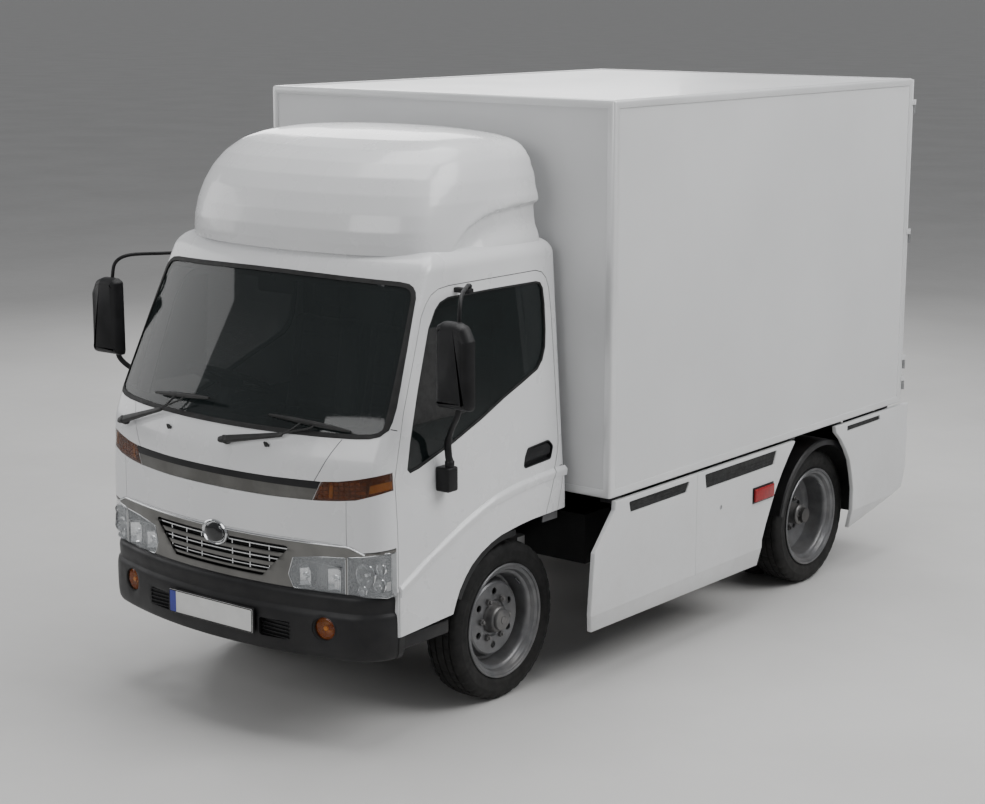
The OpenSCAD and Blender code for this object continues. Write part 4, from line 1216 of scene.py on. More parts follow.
# ---------------------------------------------------------------- door mirrors
for s, side in ((1, "left"), (-1, "right")):
    body = "mirror_l" if s > 0 else "mirror_r"
    arm = []
    pth = catmull([(884, -505, 1208), (884, -514, 1262), (890, -522, 1310), (952, -572, 1386), (1020, -624, 1448), (1046, -642, 1500), (1051, -646, 1600), (1055, -650, 1780), (1054, -648, 1880), (1045, -630, 1935), (1010, -575, 1962), (930, -455, 1964), (866, -356, 1962), (850, -330, 1950)], 5)
    rad = [16.0 if p[2] < 1330 else (12.5 if p[2] < 1500 else 8.5) for p in pth]
    arm.append(tube(pth, rad, 12, "arm"))
    arm.append(revolve([(1198, 0), (1198, 19), (1204, 21), (1222, 21), (1228, 16), (1240, 13)], (884, -505, 0), "z", 24, "foot"))
    for z in (1560, 1776):
        arm.append(box(1022, 1084, -668, -632, z, z + 34, 6, 3))
    arm.append(revolve([(1944, 0), (1944, 11), (1949, 13), (1958, 13), (1964, 8), (1964, 0)], (850, -330, 0), "z", 20, "ball"))
    # head: a rounded shell with the glass set into its back face
    prof = rounded_poly([(966, 1520), (972, 1498), (1142, 1498), (1150, 1520), (1149, 1790), (1120, 1848), (1080, 1862), (1000, 1862), (968, 1846)], [10, 14, 26, 16, 24, 30, 26, 24, 18], 5)
    rings = [(-662, 0.0), (-668, -1.5), (-676, -1.0), (-690, 3.0), (-702, 9.0), (-712, 18.0), (-718, 32.0)]
    v, f = [], []
    cxm, czm = 1058, 1680
    for y, ins in rings:
        q = inset_poly(prof, max(0.0, ins)) if ins > 0 else prof
        v += [(x, y, z) for x, z in q]
    n = len(prof)
    for i in range(len(rings) - 1):
        for k in range(n):
            f.append((i * n + k, i * n + (k + 1) % n, (i + 1) * n + (k + 1) % n, (i + 1) * n + k))
    f += [tuple(range(n))[::-1], tuple(range((len(rings) - 1) * n, len(rings) * n))]
    head = obj_from("head", v, f); fix_normals(head)
    cut(head, prism_xz(inset_poly(prof, 8), -668, -640))
    o = join(arm + [head], "mirror_body_" + side)
    gl2 = prism_xz(inset_poly(prof, 9.5), -667.5, -665.0)
    if s < 0:
        for q in (o, gl2):
            for vv in q.data.vertices:
                vv.co.x *= -1
            q.data.flip_normals()
    fin(o, body, "mirror_black", ["mirror_" + side], angle=40)
    fin(gl2, body, "mirror_glass", name="mirror_face_" + side)
    # foot on the door and the upper clamp
    ft = box(s * 868 - 37, s * 868 + 37, -540, -470, 1090, 1198, 9, 3)
    f2 = box(s * 819 - 45, s * 819 + 45, -347, -313, 1922, 1944, 5, 3)
    fin(join([ft, f2], "mirror_foot_" + side), "door_l" if s > 0 else "door_r", "mirror_black")


# ---------------------------------------------------------------- roof wind deflector
FZ = [2070, 2120, 2180, 2250, 2330, 2400, 2460, 2510, 2545, 2570, 2583, 2592, 2700]
FY = [-636, -642, -640, -622, -586, -540, -482, -410, -325, -215, -110, 40, 900]
XZ = [2060, 2079, 2190, 2290, 2375, 2459, 2520, 2700]
XW = [750, 749, 744, 739, 726, 706, 684, 560]
SLY = [-420, -314, -177, -80, 11, 160, 322, 400]
SLZ = [2040, 2089, 2191, 2228, 2247, 2261, 2266, 2268]


def sm(a, b, k):
    return 0.5 * (a + b + np.sqrt((a - b) ** 2 + k * k))


def fair_f(x, y, z):
    ax = np.abs(x)
    f1 = np.interp(z, FZ, FY) - (y - ax * ax / 4700.0 - 26.0 * smooth(380, 760, ax))
    zl = np.interp(y, SLY, SLZ)
    t = zl - z
    rec = 27.0 * smooth(2, 26, t) * (1 - smooth(70, 190, t)) * smooth(-330, -190, y)
    # the step runs out towards the front
    f2 = ax - (np.interp(z, XZ, XW) - rec + 3.0 * smooth(18, -4, t) * smooth(-60, -10, -np.abs(t)) * smooth(-330, -150, y))
    ztop = 2592.0 - 26.0 * (ax / 700.0) ** 2 - np.where(y > 0, 0.00019 * y * y, 0)
    f4 = z - ztop
    f = sm(f1, f2, 120.0)
    f = sm(f, f4, 96.0) - 4.0
    return sm(f, y - 322.0, 7.0)


def fairing(o=0.0, nt=420, nph=150):
    c = np.array([0.0, -90.0, 2079.0])
    th = np.linspace(0, 2 * np.pi, nt, endpoint=False)
    ph = np.linspace(0, np.pi / 2, nph)
    TH, PH = np.meshgrid(th, ph)
    D = np.stack([np.cos(PH) * np.cos(TH), np.cos(PH) * np.sin(TH), np.sin(PH)], -1)
    lo = np.full(TH.shape, 30.0)
    hi = np.full(TH.shape, 1100.0)
    for _ in range(34):
        m = 0.5 * (lo + hi)
        p = c + D * m[..., None]
        ins = fair_f(p[..., 0], p[..., 1], p[..., 2]) < 0
        lo = np.where(ins, m, lo)
        hi = np.where(ins, hi, m)
    P = c + D * (0.5 * (lo + hi) - o)[..., None]
    v = [tuple(p) for row in P[:-1] for p in row] + [tuple(P[-1][0])]
    f = []
    for i in range(nph - 2):
        for k in range(nt):
            l = (k + 1) % nt
            f.append((i * nt + k, i * nt + l, (i + 1) * nt + l, (i + 1) * nt + k))
    top = len(v) - 1
    for k in range(nt):
        f.append(((nph - 2) * nt + k, (nph - 2) * nt + (k + 1) % nt, top))
    # a short turned-in base flange
    base = len(v)
    v += [(v[k][0] * 0.985, (v[k][1] + 90) * 0.985 - 90, 2079.0 - 2) for k in range(nt)]
    v += [(v[k][0] * 0.965, (v[k][1] + 90) * 0.965 - 90, 2068.0) for k in range(nt)]
    for k in range(nt):
        l = (k + 1) % nt
        f.append((k, base + k, base + l, l))
        f.append((base + k, base + nt + k, base + nt + l, base + l))
    f.append(tuple(base + nt + k for k in range(nt))[::-1])
    ob = obj_from("roof_deflector", v, f)
    fix_normals(ob)
    return ob


fa = fairing()
cut(fa, prism_xz(rounded_poly([(-640, 2120), (640, 2120), (600, 2440), (500, 2490), (-500, 2490), (-600, 2440)], 60, 6), 316, 400))
fin(fa, "cab", "cab_white", ["roof_fairing"], angle=38)

# ---------------------------------------------------------------- cargo box
HW, Y0, Y1, Z0, Z1 = 1056.0, 450.0, 3340.0, 889.0, 2717.0
fr = box(-HW, HW, Y0, Y1, Z0, Z1, 13, 4)
cut(fr, box(-1018, 1018, 480, 3400, 951, 2686))
cut(fr, box(-1020, 1020, 470, 3330, 800, 940))
for s in (1, -1):
    cut(fr, box(s * 1035 - 40, s * 1035 + 40, 489, 3301, 929, 2679) if False else box(min(s * 1000, s * 1100), max(s * 1000, s * 1100), 489, 3301, 929, 2679))
cut(fr, box(-1017, 1017, 400, 500, 929, 2679))
cut(fr, box(-1017, 1017, 489, 3301, 2600, 2800))
bevel(fr, 1.8, 2, 60)
extra = []
fin(join([fr] + extra, "box_edge_trims"), "truck", "trim_silver", ["box_trims", "box_rear_frame"], angle=40)
pn = []
for s in (1, -1):
    pn.append(box(min(s * 1024, s * 1051), max(s * 1024, s * 1051), 482, 3308, 921, 2688, 1.0, 1))
pn.append(box(-1024, 1024, 455, 481, 921, 2688, 1.0, 1))
pn.append(box(-1024, 1024, 482, 3308, 2687, 2712, 1.0, 1))
fin(join(pn, "box_wall_panels"), "truck", "box_white", ["box_panels"])
# kick rails and lining battens inside
ins = []
for s in (1, -1):
    for z in (975, 1500, 2100):
        ins.append(box(s * 1014 - 6, s * 1014 + 6, 500, 3290, z, z + 70, 3, 2))
for x in (-700, -230, 230, 700):
    ins.append(box(x - 30, x + 30, 482, 492, 960, 2680, 3, 2))
for y in (950, 1450, 1950, 2450, 2950):
    ins.append(box(-1010, 1010, y, y + 40, 2662, 2687, 3, 2))
fin(join(ins, "box_inner_battens"), "truck", "trim_silver")
dk = []
for k in range(10):
    x = -1015 + k * 203
    dk.append(box(x + 0.6, x + 202.4, 486, 3300, 920, 951, 1.6, 2))
fin(join(dk, "deck_boards"), "truck", "deck_wood", ["box_floor"])
br = []
for y in (560, 1000, 1450, 1800, 2180, 2680, 3050, 3230):
    br.append(box(-1010, 1010, y, y + 50, 861, 920, 3, 2))
for s in (1, -1):
    br.append(box(s * 360 - 29, s * 360 + 29, 520, 3300, 732, 861, 3, 2))
fin(join(br, "deck_bearers"), "truck", "frame_paint")

# rear doors
for s, side, body, lock in ((1, "left", "cargo_l", "lock_l"), (-1, "right", "cargo_r", "lock_r")):
    xa, xb = 3.0, 1046.0
    dr = box(xa, xb, 3343, 3369, 897, 2709, 2.5, 3)
    rec = box(xa + 42, xb - 42, 3366, 3400, 941, 2665)
    cut(dr, rec)
    bevel(dr, 1.2, 2, 50)
    pts = [dr]
    o = join(pts, "d")
    hin = []
    for z in (960, 1080, 1800, 2520):
        hin.append(box(915, 1046, 3369, 3377, z, z + 50, 2.5, 2))
        hin.append(revolve([(z, 0), (z, 7.5), (z + 50, 7.5), (z + 50, 0)], (1050, 3378, 0), "z", 20, "barrel"))
        for xx in (935, 975, 1015):
            hin.append(revolve([(0, 7), (3, 7), (5, 4), (5.5, 0)], (xx, 3377, z + 25), "y", 6, "bolt"))
    gas = [tube(catmull([(xa + 12, 3341.5, 905), (xa + 12, 3341.5, 2701)], 2), 4.5, 8, "g"), tube([(xa + 12, 3341.5, 2701), (xb - 10, 3341.5, 2701)], 4.5, 8, "g"), tube([(xb - 10, 3341.5, 2701), (xb - 10, 3341.5, 905)], 4.5, 8, "g"), tube([(xb - 10, 3341.5, 905), (xa + 12, 3341.5, 905)], 4.5, 8, "g")]
    kp = []
    for z in (985, 1330, 1560, 2050, 2600):
        kp.append(box(66, 114, 3369, 3373.5, z, z + 44, 2, 2))
        kp.append(tube([(72, 3373, z + 22), (72, 3386, z + 22), (80, 3398, z + 22), (90, 3402, z + 22), (100, 3398, z + 22), (108, 3386, z + 22), (108, 3373, z + 22)], 3.4, 8, "k"))
    rod_ = [revolve([(929, 0), (929, 12.5), (931, 13), (2675, 13), (2677, 12.5), (2677, 0)], (90, 3387, 0), "z", 24, "rod")]
    for z in (931, 2640):
        rod_.append(box(78, 128, 3376, 3398, z, z + 34, 4, 3))
    rod_.append(prism_xz(rounded_poly([(70, 1436), (320, 1442), (338, 1448), (338, 1462), (320, 1468), (70, 1474)], 6, 3), 3380, 3394))
    bevel(rod_[-1], 2.5, 2)
    rod_.append(box(318, 336, 3390, 3423, 1428, 1482, 6, 3))
    oo = [(o, "door_leaf_", "box_white", "box_white", body, ["cargo_door_" + side]), (join(hin, "h"), "door_hinges_", "galvanised", "aluminium", body, []), (join(gas, "g"), "door_gasket_", "rubber", "rubber", body, []), (join(kp, "k"), "lock_keepers_", "steel", "steel", body, []), (join(rod_, "r"), "lock_rod_", "galvanised", "aluminium", lock, ["lock_bar_" + side])]
    for q, nm, mt, sl, bd_, rp in oo:
        if s < 0:
            for vv in q.data.vertices:
                vv.co.x *= -1
            q.data.flip_normals()
        fin(q, bd_, mt, rp, name=nm + side, angle=40)
hf = []
for s in (1, -1):
    for z in (960, 1080, 1800, 2520):
        hf.append(box(min(s * 1048, s * 1055.5), max(s * 1048, s * 1055.5), 3338, 3378, z + 51, z + 80, 1.5, 2))
        hf.append(revolve([(z + 51, 0), (z + 51, 7.5), (z + 80, 7.5), (z + 80, 0)], (s * 1050, 3378, 0), "z", 20, "barrel"))
fin(join(hf, "hinge_fixed_leaves"), "truck", "trim_silver", angle=40)
# rear lamps, plate holder, bar and flaps
def lens_box(x0, x1, y0, y1, z0, z1, mat, nm):
    q = box(x0, x1, y0, y1, z0, z1, 7, 4)
    return fin(q, "truck", mat, name=nm)


for s, side in ((1, "left"), (-1, "right")):
    bs = box(min(s * 694, s * 986), max(s * 694, s * 986), 3338, 3356, 694, 806, 6, 3)
    fin(bs, "truck", "black_plastic", name="rear_lamp_base_" + side)
    xs = [(704, 790, "amber_lens", "amber_lens"), (794, 886, "red_lens", "amber_lens"), (890, 976, "lamp_clear", "lamp_clear")]
    for k, (a, b, mt, sl) in enumerate(xs):
        lens_box(min(s * a, s * b), max(s * a, s * b), 3352, 3372, 702, 798, mt, "rear_lens_%d_%s" % (k, side))
    rf = box(min(s * 892, s * 974), max(s * 892, s * 974), 3355, 3358, 706, 794, 2, 2)
    fin(rf, "truck", "reflector", name="rear_lamp_plate_" + side)
    arm = [box(min(s * 700, s * 760), max(s * 700, s * 760), 3290, 3338, 760, 861, 4, 2), box(min(s * 920, s * 970), max(s * 920, s * 970), 3290, 3338, 760, 861, 4, 2)]
    fin(join(arm, "rear_lamp_brackets_" + side), "truck", "frame_paint")
    # mud flap
    mf = box(min(s * 560, s * 985), max(s * 560, s * 985), 3010, 3018, 300, 800, 2, 2)
    fin(mf, "truck", "rubber", name="mud_flap_" + side)
rb = [box(-1000, 1000, 3380, 3430, 480, 580, 12, 4)]
for s in (1, -1):
    rb.append(box(s * 360 - 20, s * 360 + 20, 3331, 3384, 500, 720, 4, 2))
    rb.append(box(s * 360 - 20, s * 360 + 20, 3260, 3335, 500, 559, 4, 2))
    rb.append(revolve([(s * 1000, 0), (s * 1000, 46), (s * 1003, 44), (s * 1006, 0)], (0, 3405, 530), "x", 4, "cap"))
fin(join(rb, "underrun_bar"), "truck", "frame_paint", ["rear_bumper"])
ph = box(-265, 265, 3372, 3378, 742, 858, 4, 2)
br_ = box(-200, 200, 3300, 3373, 790, 862, 4, 2)
fin(join([ph, br_], "rear_plate_holder"), "truck", "black_plastic")
fin(box(-258, 258, 3377.5, 3380.5, 748, 852, 3, 2), "truck", "plate_white", name="rear_plate")
wl = [box(-60, 60, 3372, 3400, 862, 884, 5, 3)]
fin(join(wl, "plate_lamp"), "truck", "black_plastic")

# ---------------------------------------------------------------- side skirts
SK1 = [(500, 872), (497, 830), (337, 656), (310, 364), (352, 270), (1847, 256), (1838, 352), (1840, 400), (1872, 470), (1918, 556), (1967, 641), (2030, 728), (2092, 800), (2150, 860), (2152, 872)]
SK2 = [(2592, 872), (2600, 838), (2660, 790), (2720, 722), (2766, 656), (2796, 570), (2820, 475), (2818, 350), (2842, 248), (3398, 382), (3414, 420), (3440, 500), (3441, 872)]
for s, side in ((1, "left"), (-1, "right")):
    out = []
    for P in (SK1, SK2):
        q = prism_yz(P, 1030, 1056)
        bm = bmesh.new(); bm.from_mesh(q.data)
        for zz in (0.360,):
            bmesh.ops.bisect_plane(bm, geom=bm.verts[:] + bm.edges[:] + bm.faces[:], plane_co=(0, 0, zz), plane_no=(0, 0, 1), clear_inner=False, clear_outer=False)
        for v in bm.verts:
            if v.co.z < 0.3595:
                v.co.x -= (0.360 - v.co.z) * 0.30
        bm.to_mesh(q.data); bm.free()
        bevel(q, 4.0, 3, 12)
        out.append(q)
    cuts = [(608, 1133, 795, 849), (1270, 1966, 781, 855)]
    a = out[0]
    for (y0, y1, z0, z1) in cuts:
        cut(a, prism_yz(rounded_poly([(y0 + 14, z0), (y1 - 30, z0 + 2), (y1, z1), (y0, z1)], 8, 3), 1048, 1100))
    cut(a, prism_yz([(y - 0.9, z) for y, z in ((1200, 255), (1200, 873))] + [(1200.9, 873), (1200.9, 255)], 1053.4, 1100))
    cut(a, revolve([(1050, 0), (1050, 12), (1100, 12), (1100, 0)], (0, 1426, 656), "x", 24))
    b = out[1]
    cut(b, prism_yz(rounded_poly([(2722, 826), (3101, 828), (3101, 855), (2722, 855)], 6, 3), 1048, 1100))
    sk = join([a, b], "side_skirt_" + side)
    blk = [prism_yz(rounded_poly([(y0 + 16, z0 + 1.5), (y1 - 32, z0 + 3), (y1 - 3, z1 - 1.5), (y0 + 3, z1 - 1.5)], 7, 3), 1047, 1050.5) for (y0, y1, z0, z1) in cuts]
    blk.append(prism_yz(rounded_poly([(2725, 828), (3098, 830), (3098, 853), (2725, 853)], 5, 3), 1047, 1050.5))
    for (y0, y1, z0, z1) in cuts:
        for k in range(2):
            zz = z0 + 16 + k * 18
            blk.append(box(1049, 1053, y0 + 24, y1 - 36, zz, zz + 5, 1, 1))
    bk2 = join(blk, "skirt_vents_" + side)
    cap = revolve([(1046, 11.6), (1051, 11.6), (1052.5, 10), (1052.8, 0)], (0, 1426, 656), "x", 24, "skirt_lock_" + side)
    key = box(1052, 1054, 1418, 1434, 654.5, 657.5, 0.6, 1)
    cap = join([cap, key], "skirt_lock_" + side)
    br3 = []
    for y in (620, 1200, 1800, 3120):
        br3.append(box(880, 1031, y, y + 40, 820, 861, 3, 2))
        br3.append(box(1012, 1030, y, y + 40, 420 if y < 1700 else 700, 830, 3, 2))
    br3 = join(br3, "skirt_brackets_" + side)
    # red side marker on its black base
    base = box(1056, 1060, 1730, 1936, 612, 696, 3, 3)
    lens = box(1059, 1071, 1738, 1928, 620, 688, 5, 4)
    for k in range(11):
        pass
    for q, mt, sl, rp in ((sk, "box_white", "box_white", ["skirt_" + side]), (bk2, "rubber", "black_plastic", []), (cap, "steel", "steel", []), (br3, "frame_paint", "frame_paint", []), (base, "black_plastic", "black_plastic", []), (lens, "red_lens", "amber_lens", [])):
        if q in (base, lens):
            q.name = ("marker_base_" if q is base else "marker_lens_") + side
        if s < 0:
            for vv in q.data.vertices:
                vv.co.x *= -1
            q.data.flip_normals()
        fin(q, "truck", mt, rp, angle=40)


# ---------------------------------------------------------------- mudguards
def guard(cy_, r, x0, x1, a0, a1, name, body, cz_=370.0):
    v, f = [], []
    n = 40
    prof = [(x0, r - 26), (x0, r), (x0 + 8, r + 6), (x1 - 8, r + 6), (x1, r), (x1, r - 26), (x1 - 5, r - 26), (x1 - 5, r - 3), (x1 - 12, r + 1), (x0 + 12, r + 1), (x0 + 5, r - 3), (x0 + 5, r - 26)]
    m = len(prof)
    for i in range(n + 1):
        a = math.radians(a0 + (a1 - a0) * i / n)
        v += [(x, cy_ + q * math.cos(a), cz_ + q * math.sin(a)) for x, q in prof]
    for i in range(n):
        for k in range(m):
            f.append((i * m + k, i * m + (k + 1) % m, (i + 1) * m + (k + 1) % m, (i + 1) * m + k))
    f += [tuple(range(m)), tuple(range(n * m, (n + 1) * m))[::-1]]
    o = obj_from(name, v, f)
    fix_normals(o)
    return o


fin(both(guard(2525, 428, 545, 1012, 12, 168, "gr", "truck"), "rear_mudguards"), "truck", "black_plastic")
fin(both(guard(0, 424, 560, 822, 84, 152, "gf", "cab"), "front_wheel_liners"), "cab", "black_plastic")

# ---------------------------------------------------------------- wheels and tyres
def ring_of(prof, x0, side, n, name):
    """closed (axial, radius) loop turned about the wheel's axis; axial grows outwards"""
    v, f = [], []
    m = len(prof)
    for i in range(n):
        t = 2 * math.pi * i / n
        v += [(x0 + a, r * math.cos(t), 370 + r * math.sin(t)) for a, r in prof]
    for i in range(n):
        j = (i + 1) % n
        for k in range(m):
            l = (k + 1) % m
            f.append((i * m + k, i * m + l, j * m + l, j * m + k))
    o = obj_from(name, v, f)
    fix_normals(o)
    return o


def rim_profile(d, w, hub):
    pts = [(-d - 12, hub), (-d - 12, 80), (-d - 5, 86), (-d - 5, 150), (-d - 4, 164), (-d - 9, 172), (-d - 20, 177), (-d - 42, 181), (-d - 50, 190), (-d - 48, 201),
           (-d - 34, 207), (-58, 211), (-42, 214), (-36, 219), (-32, 229), (-22, 234), (-15, 238), (-12, 248), (-9, 252), (-3, 254), (0, 259), (-0.5, 264), (-4, 267), (-9, 266.5), (-11, 261),
           (-14, 258), (-w + 14, 257), (-w + 9, 262), (-w + 5, 266), (-w + 1, 264), (-w, 258), (-w + 4, 250), (-w + 26, 240), (-w + 52, 216), (-d - 58, 206), (-d - 62, 188), (-d - 54, 174), (-d - 26, 166), (-d - 16, 150), (-d - 16, 92), (-d - 24, hub)]
    if d > 100:
        pts = [(-d - 12, hub), (-d - 12, 80), (-d - 5, 86), (-d - 5, 150), (-d - 3, 162), (-d - 2, 172), (-d + 4, 182), (-d + 8, 196), (-d + 12, 206),
               (-d + 24, 209), (-58, 211), (-42, 214), (-36, 219), (-32, 229), (-22, 234), (-15, 238), (-12, 248), (-9, 252), (-3, 254), (0, 259), (-0.5, 264), (-4, 267), (-9, 266.5), (-11, 261),
               (-14, 258), (-w + 14, 257), (-w + 9, 262), (-w + 5, 266), (-w + 1, 264), (-w, 258), (-w + 4, 250), (-w + 14, 240), (-w + 22, 220), (-d - 14, 212), (-d - 12, 196), (-d - 14, 182), (-d - 16, 150), (-d - 16, 92), (-d - 24, hub)]
    return pts


def hexnut(x0, y, z, r, h, tip, ang, name="nut"):
    v, f = [], []
    for a, k in ((0, 1.0), (h - 2.5, 1.0), (h, 0.86)):
        for i in range(6):
            t = math.radians(60 * i) + ang
            v.append((x0 + a, y + r * k * math.cos(t), z + r * k * math.sin(t)))
    for L in (0, 1):
        for i in range(6):
            f.append((L * 6 + i, L * 6 + (i + 1) % 6, (L + 1) * 6 + (i + 1) % 6, (L + 1) * 6 + i))
    f += [tuple(range(6))[::-1], tuple(range(12, 18))]
    o = obj_from(name, v, f)
    fix_normals(o)
    s = revolve([(h - 2, r * 0.5), (h + tip - 1.5, r * 0.5), (h + tip, r * 0.4), (h + tip, 0)], (x0, y, z), "x", 12, "stud")
    return join([o, s], name)


def move_y(o, cy_):
    for v in o.data.vertices:
        v.co.y += cy_ / 1000.0
    return o


def mirror_x(o):
    for v in o.data.vertices:
        v.co.x *= -1
    o.data.flip_normals()
    return o


def tyre(cx_, name, n=216):
    half = [(70, 262), (77, 262.5), (83, 266), (86, 271), (88.5, 277), (89.5, 281), (91.5, 284), (92.6, 292), (94.2, 306), (95, 320), (95.6, 323), (95.6, 327), (94.3, 330), (92.5, 338), (88.5, 348), (83.0, 356), (79.0, 360.5), (72, 364.5),
            (60, 367), (58.5, 360), (52.5, 360), (51, 367.8), (38, 368.8), (27, 369.4), (25.5, 362), (19.5, 362), (18, 369.7), (6, 370)]
    prof = [(a, r) for a, r in half] + [(-a, r) for a, r in half[::-1]]
    v, f = [], []
    m = len(prof)
    for i in range(n):
        t = 2 * math.pi * i / n
        for k, (a, r) in enumerate(prof):
            rr = r
            ab = abs(a)
            if ab >= 76 and r > 345 and (i % 6 in (0, 1)):
                rr = r - 3.2
            elif 57 < ab < 76 and r > 363 and (i % 6 in (0, 1)):
                rr = r - 5.0
            elif 27 <= ab <= 51.5 and r > 363 and ((i + (1 if a > 0 else 4)) % 6 == 0):
                rr = r - 4.5
            elif ab < 18.5 and r > 363 and (i % 12 == 5):
                rr = r - 3.5
            tt = t + (0.0035 * (ab - 60) / 20.0 if ab > 60 else 0.0) * (1 if a > 0 else -1)
            v.append((cx_ + a, rr * math.cos(tt), 370 + rr * math.sin(tt)))
    for i in range(n):
        j = (i + 1) % n
        for k in range(m):
            l = (k + 1) % m
            f.append((i * m + k, i * m + l, j * m + l, j * m + k))
    o = obj_from(name, v, f)
    fix_normals(o)
    return o


def wheel(front, side):
    s = 1 if side == "left" else -1
    body = ("front_wheel_" if front else "rear_wheel_") + ("l" if s > 0 else "r")
    cy_ = 0 if front else 2525
    xr, d, w, hub = (800, 66, 186, 62) if front else (961, 150, 190, 60)
    rim = ring_of(rim_profile(d, w, hub), xr, s, 128, "rim")
    for k in range(6):
        a = math.radians(60 * k + (28 if front else 12))
        cut(rim, revolve([(-d - 60, 0), (-d - 60, 16.5), (-d + 30, 16.5), (-d + 30, 0)], (xr, 127 * math.cos(a), 370 + 127 * math.sin(a)), "x", 28, "hole"))
    parts = [rim]
    bevel(rim, 1.6, 2, 55)
    if not front:
        inner = ring_of([(-a, r) for a, r in rim_profile(d, w, hub)], 545, s, 96, "rim_in")
        for k in range(6):
            a = math.radians(60 * k + 12)
            cut(inner, revolve([(d - 30, 0), (d - 30, 16.5), (d + 60, 16.5), (d + 60, 0)], (545, 127 * math.cos(a), 370 + 127 * math.sin(a)), "x", 28, "hole"))
        parts.append(inner)
    # valve stem
    parts.append(tube([(xr - 44, 205 * math.cos(0.9), 370 + 205 * math.sin(0.9)), (xr - 30, 196 * math.cos(0.9), 370 + 196 * math.sin(0.9)), (xr - 12, 190 * math.cos(0.9), 370 + 190 * math.sin(0.9))], [4.5, 4.5, 3.2], 10, "valve"))
    o = join(parts, ("front_wheel_disc_" if front else "rear_wheel_disc_") + side)
    hubs = []
    fx = xr - d - 5
    if front:
        hubs.append(revolve([(-66, 0), (-66, 70), (-10, 72), (-2, 70), (3, 66), (10, 63.5), (30, 61), (36, 58), (40, 52), (50, 50.5), (55, 48), (57, 42), (58, 0)], (fx, 0, 370), "x", 72, "hub"))
        hubs.append(revolve([(57, 20), (60.5, 20), (62, 16), (62, 0)], (fx, 0, 370), "x", 6, "capnut"))
    else:
        hubs.append(revolve([(-30, 0), (-30, 70), (-6, 72), (0, 70), (4, 64), (10, 60), (70, 55), (76, 58), (86, 58), (92, 54), (95, 48), (96, 30), (99, 27), (101, 20), (101, 0)], (fx, 0, 370), "x", 72, "hub"))
        for k in range(8):
            a = math.radians(45 * k)
            hubs.append(hexnut(fx + 94, 41 * math.cos(a), 370 + 41 * math.sin(a), 6.5, 6, 2, a, "bolt"))
    for k in range(6):
        a = math.radians(60 * k + (58 if front else 42))
        hubs.append(hexnut(fx - 2, 97 * math.cos(a), 370 + 97 * math.sin(a), 15.5, 17, 9, a))
    # brake drum seen through the holes
    if front:
        hubs.append(revolve([(-70, 60), (-66, 60), (-62, 150), (-66, 158), (-90, 160), (-92, 60)], (fx, 0, 370), "x", 72, "drum"))
    h = join(hubs, ("front_hub_" if front else "rear_hub_") + side)
    tys = [tyre(707, "ty")] if front else [tyre(866, "ty"), tyre(640, "ty2")]
    t = join(tys, ("front_tyre_tread_" if front else "rear_tyre_tread_") + side)
    for q, mt, sl, rp in ((o, "rim_steel", "rim_steel", [("front_rim_" if front else "rear_rim_") + side]), (h, "hub_paint", "rim_steel", []), (t, "tyre", "tyre", [("front_tyre_" if front else "rear_tyre_") + side])):
        move_y(q, cy_)
        if s < 0:
            mirror_x(q)
        fin(q, body, mt, rp, angle=30)


M["hub_paint"] = simple("hub_paint", (0.10, 0.10, 0.102), (0.17, 0.168, 0.165), (0.35, 0.5), metal=0.5, scale=18, bumps=((260, 0.12, 0.0006),), dirt=((0.16, 0.14, 0.12), 0.0, 0.75, 0.4))
for sd in ("left", "right"):
    wheel(True, sd)
    wheel(False, sd)

# ---------------------------------------------------------------- cab interior
# dark grey lining: its own colour, made darker so that it also paints the shade inside the cab
M["liner"] = simple("cab_lining", (0.085, 0.085, 0.088), (0.11, 0.11, 0.113), (0.7, 0.85), scale=20, bumps=((700, 0.3, 0.0005),))
M["floor_mat"] = simple("floor_mat", (0.02, 0.02, 0.021), (0.035, 0.035, 0.036), (0.7, 0.85), scale=20, bumps=((300, 0.3, 0.001),))
M["dial_face"] = simple("dial_face", (0.01, 0.01, 0.012), (0.02, 0.02, 0.022), (0.2, 0.3), scale=40, bumps=((500, 0.05, 0.0003),))
ln = skin(24.8, 29.0, "liner", z0=760)
cut(ln, prism_xz(inset_poly(WS, -14), -1500, -500))
cut(ln, prism_yz(inset_poly(DOOR, -10), -1300, 1300))
cut(ln, prism_xy([(-1300, -1600), (1300, -1600), (1300, -560), (-1300, -560)], 300, 1262))
cut(ln, prism_xy([(-1300, -1600), (1300, -1600), (1300, 800), (-1300, 800)], 300, 790))
fin(ln, "cab", "liner", name="cab_lining")
fp = prism_yz(rounded_poly([(-925, 990), (-872, 745), (-372, 741), (-366, 1006), (372, 1008), (372, 990), (-352, 990), (-356, 727), (-884, 731), (-938, 986)], 7, 3), -778, 778)
bevel(fp, 2, 2, 50)
tun = box(-205, 205, -575, -360, 742, 1000, 30, 5)
ribs = [box(x0, x1, -798 + k * 34, -784 + k * 34, 743, 747.5, 1.5, 1) for k in range(12) for x0, x1 in ((-700, -225), (225, 700))]
sill = [box(s * 760 - 18, s * 760 + 18, -800, -380, 742, 752, 3, 2) for s in (-1, 1)]
lim = master(34.0, 380, 2200, 22.0, name="lim")
cut(fp, lim, "INTERSECT")
cut(fp, box(-680, -420, -980, -806, 700, 1020))
fin(join([fp, tun] + ribs + sill, "cab_floor_pan"), "cab", "floor_mat", angle=35)
